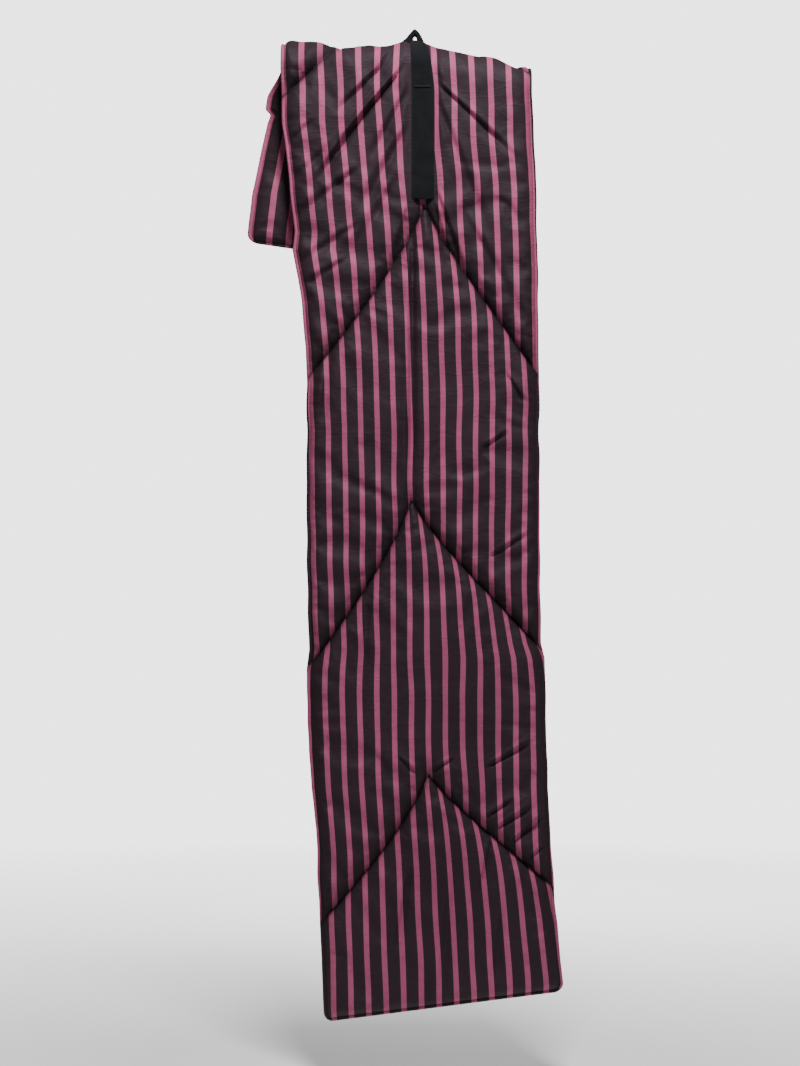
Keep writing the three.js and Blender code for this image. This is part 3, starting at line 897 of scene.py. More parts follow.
    def _hang(self) -> tuple[np.ndarray, np.ndarray]:
        """Places of the shell's and the lining's corners as they hang."""
        middle, out = self.shape.place(self.share, self.run)
        shell_height, lining_height = self._heights(middle)
        middle = self._round_corners(middle)
        middle[..., 2] += drawn_up(middle[..., 0], self.run)
        from_side = ease(self._side_distance(self.share), 0.0, self.RIDGE_END)
        full = self.RIDGE_LIFT + self.RIDGE_END_LIFT * (1 - from_side)
        full = full * bell(self.run, self.RIDGE_REACH)
        middle = middle + out * full[..., None]
        sway = self.noise(self.run / 0.045, np.full_like(self.run, 5.0))
        middle[..., 0] += self.SWAY * sway * (np.abs(self.share - 0.5) * 2) ** 3
        shell_height = self._under_strap(middle, shell_height)
        shell = middle + out * shell_height[..., None]
        lining = middle - out * lining_height[..., None]
        border = self._border()
        shell[border] = middle[border]
        lining[border] = middle[border]
        return shell, lining

    def _under_strap(self, middle: np.ndarray, height: np.ndarray) -> np.ndarray:
        """Presses the shell in behind the strap."""
        low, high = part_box("strap_tail")
        half = (high.x - low.x) / 2 + self.STRAP_ROOM
        from_middle = np.abs(middle[..., 0] - (low.x + high.x) / 2)
        under = 1 - ease(from_middle, half, half + self.STRAP_EASE)
        under = under * ease(middle[..., 2], low.z - 0.012, low.z + 0.004) * (self.run > 0)
        limit = self.shape.outer - self.shape.middle - self.STRAP_GAP
        return height - under * np.maximum(height - limit, 0.0)

    def _round_corners(self, middle: np.ndarray) -> np.ndarray:
        """Rounds the four corners of the quilt."""
        result = middle.copy()
        radius = self.CORNER
        ends = (
            (self.shape.hem_run(self.share) - self.run),
            (self.shape.flap_run(self.share) + self.run),
        )
        for side, way in ((0.0, 1), (1.0, -1)):
            for up in ends:
                inward = np.abs(self.share - side) * self.FLAT_WIDTH
                near = (inward < radius) & (up < radius)
                across, down = radius - inward, radius - up
                length = np.maximum(np.hypot(across, down), 1e-9)
                scale = np.where(near, np.maximum(across, down) / length, 1.0)
                result[..., 0] += np.where(near, way * across * (1 - scale), 0)
                result[..., 2] += np.where(near, down * (1 - scale), 0)
        return result

    # -- pattern
    def _chamber(self, share: np.ndarray, run: np.ndarray) -> np.ndarray:
        """Number of the chamber at a place: how many seams lie above it."""
        return np.sum([run >= seam.run(share) for seam in self.seams], axis=0)

    def _stripes(self, share: np.ndarray, run: np.ndarray, chamber: np.ndarray) -> np.ndarray:
        """Place on the striped cloth, across, in metres.

        Args:
            share: Share of the width.
            run: Distance along the cloth.
            chamber: Chamber of each face that uses the corner.

        Returns:
            The place, a whole number of pitches at the middle of a stripe.
        """
        starts = [-self.shape.flap_run(share)] + [seam.run(share) for seam in self.seams]
        ends = starts[1:] + [self.shape.hem_run(share)]
        result = np.zeros_like(share)
        for number, lay in enumerate(CHAMBER_STRIPES):
            below_seam = run - starts[number]
            down = np.clip(below_seam / (ends[number] - starts[number]), 0, 1)
            apex = self.seams[number - 1].apex_share if number else 0.0
            jog = STRIPE_JOGS[number] * np.exp(-np.maximum(below_seam, 0.0) / self.JOG_REACH)
            jog = jog * ease(share, apex - 0.05, apex + 0.07)
            result = np.where(chamber == number, lay.count(share, down) + jog, result)
        drift = self.noise(share * 4.5 + 9 * chamber, run / 0.075 + 3 * chamber)
        drift = drift * np.sin(np.pi * share) ** 0.5
        return result * STRIPE_PITCH + self.STRIPE_DRIFT * drift

    # -- mesh
    def build(self) -> None:
        """Makes the faces, the corner normals and the pattern of the whole cloth."""
        rows, columns = self.rows, self.columns
        wide = columns + 1
        diagonals: dict[tuple[int, int], bool] = {}
        for chain in self.chains:
            for (r1, c1), (r2, c2) in zip(chain, chain[1:]):
                if r1 != r2 and c1 != c2:
                    diagonals[(min(r1, r2), min(c1, c2))] = (r2 - r1) * (c2 - c1) > 0
        outward: list[tuple[int, ...]] = []
        for r in range(rows):
            for c in range(columns):
                a, b = r * wide + c, (r + 1) * wide + c
                falls = diagonals.get((r, c))
                if falls is None:
                    outward.append((a, b, b + 1, a + 1))
                elif falls:
                    outward += [(a, b, b + 1), (a, b + 1, a + 1)]
                else:
                    outward += [(a, b, a + 1), (b, b + 1, a + 1)]
        count = (rows + 1) * wide
        own = np.arange(count)
        self.twin = np.where(self._border().ravel(), own, own + count)
        self.points = np.vstack([self.shell.reshape(-1, 3), self.lining.reshape(-1, 3)])
        share, run = self.share.ravel(), self.run.ravel()
        self.share2, self.run2 = np.tile(share, 2), np.tile(run, 2)
        self.crease2 = np.tile(self.crease.ravel(), 2)
        self.faces, self.face_chamber, self.face_back = [], [], []
        for face in outward:
            index = list(face)
            chamber = int(self._chamber(share[index].mean(), run[index].mean()))
            back = run[index].mean() < 0
            for skin in Skin:
                ids = face if skin is Skin.SHELL else tuple(int(self.twin[i]) for i in face[::-1])
                self.faces.append(ids)
                self.face_chamber.append(chamber)
                self.face_back.append(back)
        self.normals = self._corner_normals()

    def _corner_normals(self) -> np.ndarray:
        """Smooth normals of the two skins, from the faces round each corner."""
        normals = np.zeros_like(self.points)
        for size in (3, 4):
            ids = np.array([face for face in self.faces if len(face) == size])
            if size == 3:
                cross = np.cross(
                    self.points[ids[:, 1]] - self.points[ids[:, 0]],
                    self.points[ids[:, 2]] - self.points[ids[:, 0]],
                )
            else:
                cross = np.cross(
                    self.points[ids[:, 2]] - self.points[ids[:, 0]],
                    self.points[ids[:, 3]] - self.points[ids[:, 1]],
                )
            for corner in range(size):
                np.add.at(normals, ids[:, corner], cross)
        length = np.linalg.norm(normals, axis=1, keepdims=True)
        return normals / np.maximum(length, 1e-12)

    def _in_stretch(self, number: int, stretch: Stretch) -> bool:
        """Whether a face belongs to a stretch."""
        if self.face_back[number]:
            return stretch is Stretch.BACK
        return stretch is (Stretch.UPPER if self.face_chamber[number] <= 2 else Stretch.LOWER)

    def _cap(self, chain: list[tuple[int, int]], above: bool) -> list[tuple[int, ...]]:
        """Closes a stretch inside the quilt, between the shell and the lining.

        Args:
            chain: The corners along the cut.
            above: Whether the stretch lies above the cut.

        Returns:
            The faces.
        """
        wide = self.columns + 1
        faces: list[tuple[int, ...]] = []
        for one, other in zip(chain, chain[1:]):
            a, b = one[0] * wide + one[1], other[0] * wide + other[1]
            ring = [a, b, int(self.twin[b]), int(self.twin[a])]
            ring = [i for k, i in enumerate(ring) if i not in ring[:k]]
            faces.append(tuple(ring[::-1] if above else ring))
        return faces

    def piece(self, stretch: Stretch, cloth: Material, inside: Material) -> Object:
        """One stretch of the quilt as a closed mesh.

        Args:
            stretch: Which stretch.
            cloth: Material of the shell and the lining.
            inside: Material of the unseen cut.

        Returns:
            The object.
        """
        ridge = [(self.ridge_row, column) for column in range(self.columns + 1)]
        cut = self.chains[2]
        caps = {
            Stretch.BACK: self._cap(ridge, True),
            Stretch.UPPER: self._cap(ridge, False) + self._cap(cut, True),
            Stretch.LOWER: self._cap(cut, False),
        }[stretch]
        numbers = [i for i in range(len(self.faces)) if self._in_stretch(i, stretch)]
        faces = [self.faces[i] for i in numbers] + caps
        used = np.unique(np.concatenate([np.array(face) for face in faces]))
        where = np.full(len(self.points), -1)
        where[used] = np.arange(len(used))
        mesh = bpy.data.meshes.new(f"quilt_{stretch.value}")
        mesh.from_pydata(
            self.points[used].tolist(), [], [tuple(int(where[i]) for i in face) for face in faces]
        )
        mesh.materials.append(cloth)
        mesh.materials.append(inside)
        loops = np.concatenate([np.array(face) for face in faces])
        chamber = np.concatenate([
            np.full(len(self.faces[i]), self.face_chamber[i]) for i in numbers
        ] + [np.zeros(len(face)) for face in caps])
        across = self._stripes(self.share2[loops], self.run2[loops], chamber)
        layer = mesh.uv_layers.new(name="cloth")
        layer.data.foreach_set("uv", np.stack([across, self.run2[loops]], -1).ravel())
        # The crease attribute carries the painted seam shade to the cloth's material.
        attribute = mesh.attributes.new("crease", "FLOAT", "POINT")
        attribute.data.foreach_set("value", self.crease2[used].astype(np.float32))
        slots = [0] * len(numbers) + [1] * len(caps)
        mesh.polygons.foreach_set("material_index", slots)
        mesh.polygons.foreach_set("use_smooth", [True] * len(faces))
        mesh.normals_split_custom_set([tuple(normal) for normal in self.normals[loops]])
        mesh.update()
        return put_in(mesh.name, mesh)

    def _line(self, corners: list[tuple[int, int]]) -> np.ndarray:
        """Points on the shell, lifted by half a thread."""
        wide = self.columns + 1
        index = [row * wide + column for row, column in corners]
        return self.points[index] + self.normals[index] * self.THREAD_LIFT

    def seam_line(self, number: int, back: bool) -> np.ndarray:
        """Points along a seam on the shell, in front of the ridge or behind it.

        Args:
            number: Which seam.
            back: Whether the part behind the ridge is wanted.

        Returns:
            The points.
        """
        return self._line([
            corner for corner in self.chains[number][1:-1]
            if (corner[0] < self.ridge_row) == back
        ])

    def edge_lines(self, stretch: Stretch) -> list[np.ndarray]:
        """Points along the edge stitching of a stretch.

        Args:
            stretch: Which stretch.

        Returns:
            One line for each side, and one for the hem where the stretch has one.
        """
        inset = int(np.argmin(np.abs(self.across_table * self.FLAT_WIDTH - self.BAND)))
        left_cut, right_cut = self.chains[2][0][0], self.chains[2][-1][0]
        from_hem = self.shape.hem_run(0.5) * (1 - self.down_table)
        hem_row = int(np.argmin(np.abs(from_hem - self.BAND)))
        from_flap = self.shape.flap_run(0.5) * (1 + self.down_table)
        flap_row = int(np.argmin(np.abs(from_flap - self.BAND)))
        spans = {
            Stretch.BACK: ((flap_row, self.ridge_row), (flap_row, self.ridge_row)),
            Stretch.UPPER: ((self.ridge_row, left_cut), (self.ridge_row, right_cut)),
            Stretch.LOWER: ((left_cut + 1, hem_row), (right_cut + 1, hem_row)),
        }[stretch]
        sides = zip(spans, (inset, self.columns - inset))
        lines = [self._line([(row, column) for row in range(*span)]) for span, column in sides]
        across = range(inset, self.columns - inset + 1)
        if stretch is not Stretch.UPPER:
            row = flap_row if stretch is Stretch.BACK else hem_row
            lines.append(self._line([(row, column) for column in across]))
        return lines


# ---- finishes ------------------------------------------------------------------------------------
class Nodes:
    """Short calls for building a material's nodes."""

    def __init__(self, name: str) -> None:
        """Starts an empty material.

        Args:
            name: The material's name.
        """
        self.material = bpy.data.materials.new(name)
        self.material.use_nodes = True
        self.tree = self.material.node_tree
        self.tree.nodes.clear()

    def add(self, kind: str, **values: object) -> bpy.types.Node:
        """Adds a node and sets its properties.

        Args:
            kind: The node's type.
            values: Its properties.

        Returns:
            The node.
        """
        node = self.tree.nodes.new(kind)
        for name, value in values.items():
            setattr(node, name, value)
        return node

    def link(self, start: Socket, end: Socket) -> None:
        """Joins two sockets."""
        self.tree.links.new(start, end)

    def feed(self, socket: Socket, value: object) -> None:
        """Gives a socket a link or a value."""
        if isinstance(value, Socket):
            self.link(value, socket)
        else:
            socket.default_value = value

    def sum(self, operation: str, *values: object) -> Socket:
        """A Math node's result.

        Args:
            operation: The operation.
            values: Its inputs, sockets or numbers.

        Returns:
            The result.
        """
        node = self.add("ShaderNodeMath", operation=operation)
        for socket, value in zip(node.inputs, values):
            self.feed(socket, value)
        return node.outputs[0]

    def spread(
        self, value: object, low: float, high: float, to_low: float, to_high: float
    ) -> Socket:
        """A value spread from one range to another, held at its ends."""
        node = self.add("ShaderNodeMapRange")
        for socket, given in zip(node.inputs, (value, low, high, to_low, to_high)):
            self.feed(socket, given)
        return node.outputs[0]

    def blend_colour(self, share: object, one: object, other: object, kind: str = "MIX") -> Socket:
        """A mix of two colours."""
        node = self.add("ShaderNodeMix", data_type="RGBA", blend_type=kind)
        for number, value in ((0, share), (6, one), (7, other)):
            self.feed(node.inputs[number], value)
        return node.outputs[2]

    def grey(self, value: object) -> Socket:
        """A grey of a value."""
        node = self.add("ShaderNodeCombineColor")
        for socket in node.inputs[:3]:
            self.link(value, socket)
        return node.outputs[0]

    def shaded(self, colour: object, shade: object) -> Socket:
        """A colour made darker or lighter by a factor."""
        return self.blend_colour(1.0, colour, self.grey(shade), "MULTIPLY")

    def noise(self, place: object, scale: float, detail: float = 3.0) -> Socket:
        """Noise at a place, between 0 and 1."""
        node = self.add("ShaderNodeTexNoise")
        self.feed(node.inputs["Vector"], place)
        node.inputs["Scale"].default_value = scale
        node.inputs["Detail"].default_value = detail
        return node.outputs[0]

    def bump(
        self, height: object, distance: float, strength: float, under: object = None
    ) -> Socket:
        """A bump of a given depth, over another one."""
        node = self.add("ShaderNodeBump")
        node.inputs["Distance"].default_value = distance
        node.inputs["Strength"].default_value = strength
        self.feed(node.inputs["Height"], height)
        if under is not None:
            self.link(under, node.inputs["Normal"])
        return node.outputs[0]

    def finish(
        self, colour: object, roughness: object, normal: object, **fixed: object
    ) -> Material:
        """Ends the material in a surface shader.

        Args:
            colour: Base colour.
            roughness: Roughness.
            normal: The bumped normal.
            fixed: Values set on the shader's own sockets, by name with _ for a space.

        Returns:
            The material.
        """
        shader = self.add("ShaderNodeBsdfPrincipled")
        self.feed(shader.inputs["Base Color"], colour)
        self.feed(shader.inputs["Roughness"], roughness)
        if normal is not None:
            self.link(normal, shader.inputs["Normal"])
        for name, value in fixed.items():
            shader.inputs[name.replace("_", " ")].default_value = value
        output = self.add("ShaderNodeOutputMaterial")
        self.link(shader.outputs[0], output.inputs[0])
        return self.material


Colour = tuple[float, float, float, float]


@dataclass(frozen=True)
class StripedCloth:
    """Smooth woven cloth, dark, with lengthwise pink stripes, and painted shade along the quilting
    seams.
    """

    pink: Colour = (0.345, 0.076, 0.152, 1.0)
    dark: Colour = (0.0250, 0.0130, 0.0195, 1.0)
    half_stripe: float = 0.157
    soft_edge: float = 0.008
    thread: float = 0.0007

    def material(self) -> Material:
        """Builds the material."""
        nodes = Nodes("striped_cloth")
        uv = nodes.add("ShaderNodeUVMap", uv_map="cloth").outputs[0]
        parts = nodes.add("ShaderNodeSeparateXYZ")
        nodes.link(uv, parts.inputs[0])
        across, down = parts.outputs[0], parts.outputs[1]
        place = nodes.add("ShaderNodeTexCoord").outputs["Object"]
        count = nodes.sum("DIVIDE", across, STRIPE_PITCH)
        count = nodes.sum("FRACT", nodes.sum("ADD", count, 0.5))
        from_middle = nodes.sum("ABSOLUTE", nodes.sum("SUBTRACT", count, 0.5))
        inside, outside = self.half_stripe - self.soft_edge, self.half_stripe + self.soft_edge
        stripe = nodes.spread(from_middle, inside, outside, 1.0, 0.0)
        colour = nodes.blend_colour(stripe, self.dark, self.pink)
        fade = nodes.spread(nodes.noise(place, 7.0), 0.3, 0.7, 0.86, 1.10)
        mottle = nodes.spread(nodes.noise(place, 130.0, 2.0), 0.3, 0.7, 0.95, 1.05)
        warp = nodes.sum("SINE", nodes.sum("MULTIPLY", across, 2 * math.pi / self.thread))
        weft = nodes.sum("SINE", nodes.sum("MULTIPLY", down, 2 * math.pi / self.thread))
        weave = nodes.sum("MULTIPLY", warp, weft)
        # Painted shade: the crease attribute darkens the stripes down to 0.22 of their colour along
        # the seams and just above them.
        crease = nodes.add("ShaderNodeAttribute", attribute_name="crease").outputs["Fac"]
        wear_and_painted_shade = nodes.spread(crease, 0.0, 1.0, 1.0, 0.22)
        grain = nodes.spread(weave, -1.0, 1.0, 0.93, 1.07)
        shade = nodes.sum("MULTIPLY", fade, mottle)
        shade = nodes.sum("MULTIPLY", shade, nodes.sum("MULTIPLY", wear_and_painted_shade, grain))
        colour = nodes.shaded(colour, shade)
        roughness = nodes.spread(nodes.noise(place, 22.0), 0.3, 0.7, 0.62, 0.72)
        rumple = nodes.add("ShaderNodeMapping")
        nodes.link(place, rumple.inputs[0])
        rumple.inputs["Scale"].default_value = (1.0, 1.0, 1.7)
        normal = nodes.bump(nodes.noise(rumple.outputs[0], 55.0, 3.0), 0.0011, 0.34)
        lines = nodes.add("ShaderNodeMapping")
        nodes.link(place, lines.inputs[0])
        lines.inputs["Rotation"].default_value = (0.0, 0.35, 0.0)
        lines.inputs["Scale"].default_value = (8.0, 8.0, 24.0)
        crossing = nodes.sum("SUBTRACT", nodes.noise(lines.outputs[0], 1.6, 2.0), 0.5)
        pinch = nodes.spread(nodes.sum("ABSOLUTE", crossing), 0.0, 0.035, 1.0, 0.0)
        normal = nodes.bump(pinch, 0.0010, 0.30, normal)
        normal = nodes.bump(weave, 0.00006, 0.30, normal)
        return nodes.finish(
            colour, roughness, normal,
            Specular_IOR_Level=0.17, Sheen_Weight=0.02, Sheen_Roughness=0.45,
        )


@dataclass(frozen=True)
class BlackTape:
    """Matte black tape, finely ribbed across its length."""

    black: Colour = (0.0050, 0.0053, 0.0068, 1.0)
    rib: float = 0.0016

    def material(self) -> Material:
        """Builds the material."""
        nodes = Nodes("black_tape")
        uv = nodes.add("ShaderNodeUVMap", uv_map="cloth").outputs[0]
        parts = nodes.add("ShaderNodeSeparateXYZ")
        nodes.link(uv, parts.inputs[0])
        place = nodes.add("ShaderNodeTexCoord").outputs["Object"]
        ribs = nodes.sum("SINE", nodes.sum("MULTIPLY", parts.outputs[1], 2 * math.pi / self.rib))
        cord_turns = 2 * math.pi / (self.rib * 0.75)
        cords = nodes.sum("SINE", nodes.sum("MULTIPLY", parts.outputs[0], cord_turns))
        fuzz = nodes.noise(place, 900.0, 2.0)
        wear_and_painted_shade = nodes.spread(nodes.noise(place, 45.0), 0.35, 0.75, 0.8, 1.5)
        grain = nodes.spread(ribs, -1.0, 1.0, 0.85, 1.15)
        colour = nodes.shaded(self.black, nodes.sum("MULTIPLY", wear_and_painted_shade, grain))
        normal = nodes.bump(ribs, 0.00022, 0.6)
        normal = nodes.bump(cords, 0.00010, 0.4, normal)
        normal = nodes.bump(fuzz, 0.0002, 0.5, normal)
        roughness = nodes.spread(fuzz, 0.3, 0.7, 0.82, 0.95)
        return nodes.finish(
            colour, roughness, normal,
            Specular_IOR_Level=0.14, Sheen_Weight=0.06, Sheen_Roughness=0.5,
        )


@dataclass(frozen=True)
class SewingThread:
    """Spun thread with a visible twist."""

    name: str
    colour: Colour

    def material(self) -> Material:
        """Builds the material."""
        nodes = Nodes(self.name)
        place = nodes.add("ShaderNodeTexCoord").outputs["Object"]
        ply = nodes.noise(place, 2200.0, 1.0)
        colour = nodes.shaded(self.colour, nodes.spread(ply, 0.3, 0.7, 0.7, 1.25))
        roughness = nodes.spread(ply, 0.3, 0.7, 0.6, 0.8)
        return nodes.finish(colour, roughness, nodes.bump(ply, 0.0001, 0.6), Specular_IOR_Level=0.3)


@dataclass(frozen=True)
class Wadding:
    """White fibre filling, seen only where a stretch is cut inside the quilt."""

    white: Colour = (0.72, 0.71, 0.68, 1.0)

    def material(self) -> Material:
        """Builds the material."""
        nodes = Nodes("wadding")
        place = nodes.add("ShaderNodeTexCoord").outputs["Object"]
        tuft = nodes.noise(place, 400.0, 4.0)
        colour = nodes.shaded(self.white, nodes.spread(tuft, 0.3, 0.7, 0.8, 1.1))
        roughness = nodes.spread(tuft, 0.3, 0.7, 0.85, 1.0)
        return nodes.finish(colour, roughness, nodes.bump(tuft, 0.001, 0.8))


# ---- stitches ------------------------------------------------------------------------------------
class StitchTree:
    """Geometry nodes that set stitches end to end along a line."""

    def __init__(self) -> None:
        """Builds the tree."""
        self.tree = bpy.data.node_groups.new("stitch_line", "GeometryNodeTree")
        face = self.tree.interface
        face.new_socket("Geometry", in_out="INPUT", socket_type="NodeSocketGeometry")
        for name, value in (("Pitch", 0.0036), ("Length", 0.0029), ("Thickness", 0.0006)):
            socket = face.new_socket(name, in_out="INPUT", socket_type="NodeSocketFloat")
            socket.default_value = value
        face.new_socket("Turn", in_out="INPUT", socket_type="NodeSocketFloat")
        face.new_socket("Finish", in_out="INPUT", socket_type="NodeSocketMaterial")
        face.new_socket("Geometry", in_out="OUTPUT", socket_type="NodeSocketGeometry")
        add = self.tree.nodes.new
        given, result = add("NodeGroupInput"), add("NodeGroupOutput")
        curve, evenly = add("GeometryNodeMeshToCurve"), add("GeometryNodeResampleCurve")
        evenly.mode = "LENGTH"
        bead = add("GeometryNodeMeshUVSphere")
        bead.inputs["Segments"].default_value = 6
        bead.inputs["Rings"].default_value = 4
        bead.inputs["Radius"].default_value = 0.5
        size = add("ShaderNodeCombineXYZ")
        tangent, aim = add("GeometryNodeInputTangent"), add("FunctionNodeAlignRotationToVector")
        aim.axis = "Z"
        spin, twist = add("FunctionNodeRotateRotation"), add("FunctionNodeAxisAngleToRotation")
        spin.rotation_space = "GLOBAL"
        twist.inputs["Axis"].default_value = (0.0, 1.0, 0.0)
        place, real = add("GeometryNodeInstanceOnPoints"), add("GeometryNodeRealizeInstances")
        finish = add("GeometryNodeSetMaterial")
        for start, leaving, end, entering in (
            (given, "Geometry", curve, "Mesh"),
            (curve, "Curve", evenly, "Curve"),
            (given, "Pitch", evenly, "Length"),
            (given, "Thickness", size, "X"),
            (given, "Thickness", size, "Y"),
            (given, "Length", size, "Z"),
            (tangent, "Tangent", aim, "Vector"),
            (aim, "Rotation", spin, "Rotation"),
            (given, "Turn", twist, "Angle"),
            (twist, "Rotation", spin, "Rotate By"),
            (evenly, "Curve", place, "Points"),
            (bead, "Mesh", place, "Instance"),
            (spin, "Rotation", place, "Rotation"),
            (size, "Vector", place, "Scale"),
            (place, "Instances", real, "Geometry"),
            (real, "Geometry", finish, "Geometry"),
            (given, "Finish", finish, "Material"),
            (finish, "Geometry", result, "Geometry"),
        ):
            self.tree.links.new(start.outputs[leaving], end.inputs[entering])

    def sew(
        self, name: str, lines: list[np.ndarray], finish: Material,
        turn: float = 0.0, **sizes: float,
    ) -> Object:
        """Sews along lines.

        Args:
            name: The piece's name.
            lines: Points of each line.
            finish: The thread's material.
            turn: Turn of each stitch about the line from front to back.
            sizes: Pitch, Length and Thickness, where they aren't the usual ones.

        Returns:
            The stitches as one mesh.
        """
        points = [tuple(point) for line in lines for point in line]
        edges, start = [], 0
        for line in lines:
            edges += [(start + i, start + i + 1) for i in range(len(line) - 1)]
            start += len(line)
        guide_mesh = bpy.data.meshes.new(name + "_guide")
        guide_mesh.from_pydata(points, edges, [])
        guide = put_in(name + "_guide", guide_mesh)
        modifier = guide.modifiers.new("stitches", "NODES")
        modifier.node_group = self.tree
        values = {"Finish": finish, "Turn": turn, **sizes}
        for item in self.tree.interface.items_tree:
            if item.in_out == "INPUT" and item.name in values:
                modifier[item.identifier] = values[item.name]
        bpy.context.view_layer.update()
        evaluated = guide.evaluated_get(bpy.context.evaluated_depsgraph_get())
        mesh = bpy.data.meshes.new_from_object(evaluated)
        mesh.name = name
        guide.modifiers.remove(modifier)
        bpy.data.objects.remove(guide)
        bpy.data.meshes.remove(guide_mesh)
        mesh.polygons.foreach_set("use_smooth", [True] * len(mesh.polygons))
        return put_in(name, mesh)


# ---- tape ----------------------------------------------------------------------------------------
def skin_of_rings(name: str, rings: np.ndarray, uv: np.ndarray, finish: Material) -> Object:
    """Closed tube through rings of points, its ends closed.

    Args:
        name: The piece's name.
        rings: Rings by points by 3, each ring turning left seen from the start.
        uv: Rings by points plus one by 2, the seam's place given twice.
        finish: The material.

    Returns:
        The object.
    """
    count, around = rings.shape[:2]
    faces = []
    corners = []
    for i in range(count - 1):
        for j in range(around):
            k = (j + 1) % around
            here, there = i * around, (i + 1) * around
            faces.append((here + j, here + k, there + k, there + j))
            corners += [(i, j), (i, j + 1), (i + 1, j + 1), (i + 1, j)]
    faces.append(tuple(range(around))[::-1])
    corners += [(0, j) for j in range(around)][::-1]
    faces.append(tuple((count - 1) * around + j for j in range(around)))
    corners += [(count - 1, j) for j in range(around)]
    mesh = bpy.data.meshes.new(name)
    mesh.from_pydata(rings.reshape(-1, 3).tolist(), [], faces)
    layer = mesh.uv_layers.new(name="cloth")
    layer.data.foreach_set("uv", np.array([uv[i, j] for i, j in corners], float).ravel())
    mesh.materials.append(finish)
    mesh.polygons.foreach_set("use_smooth", [True] * len(faces))
    mesh.update()
    return put_in(name, mesh)


@dataclass
class Strap:
    """The black strap: sewn down over the fold, then hanging free down the front."""

    shape: HangingShape
    top_width: float = 0.024
    top_x: float = 0.004
    extra: float = 0.0016
    tilt: float = 0.03
    corner: float = 0.010
    slack: float = 0.64
    steps: int = 190
    half_points: int = 16

    def build(self, finish: Material) -> Object:
        """Builds the strap.

        Args:
            finish: The tape's material.

        Returns:
            The strap.
        """
        low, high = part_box("strap_tail")
        thick = (high.y - low.y) * 0.92
        face = -(high.y + low.y) / 2
        centre_x, width = (high.x + low.x + self.extra) / 2, high.x - low.x + self.extra
        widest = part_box("strap_sewn_part")[0].z
        noise = Noise(31)
        arc = face * (math.pi / 2 - self.tilt)
        centre = float(self.shape.fold_centre(np.array(0.5)))
        length = arc + (centre - low.z)
        to_widest = arc + (centre - widest)
        rings, uv = [], []
        for place in np.linspace(0, length, self.steps):
            down = min(place / to_widest, 1.0)
            down = 1 - (1 - down) ** 1.5
            half = (self.top_width + (width - self.top_width) * down) / 2
            left = length - place
            if left < self.corner:
                bite = max(self.corner**2 - (self.corner - left) ** 2, 1e-8)
                half -= self.corner - math.sqrt(bite)
            x = self.top_x + (centre_x - self.top_x) * down
            angle = math.pi / 2 + self.tilt + min(place, arc) / face
            ring, marks = [], []
            lower = max(place - arc, 0.0)
            sway = 0.0006 * float(noise(place / 0.035, 1.5)) * min(down * 1.5, 1.0)
            for skin in (1, -1):
                for share in np.linspace(-1, 1, self.half_points) * skin:
                    rim = math.sqrt(max(1 - abs(share) ** 6, 0.0))
                    cup = -0.0007 * share**2 * down
                    ripple = 0.00022 * float(noise(place / 0.013, share * 2 + 8.0))
                    tuck = 0.0011 * math.exp(-((place - 0.022) / 0.012) ** 2) * math.cos(share * 9)
                    out = face + skin * thick / 2 * rim + cup + ripple + tuck * (skin > 0)
                    out = min(out, face + thick / 2 + 0.0008)
                    side = x + share * half + sway
                    y = out * math.cos(angle)
                    z = centre + out * math.sin(angle) - lower
                    z += float(drawn_up(side, place * self.slack))
                    ring.append((side, y, z))
                    marks.append((share * half, place))
            marks.append(marks[0])
            rings.append(ring)
            uv.append(marks)
        return skin_of_rings("strap", np.array(rings)[:, ::-1], np.array(uv)[:, ::-1], finish)


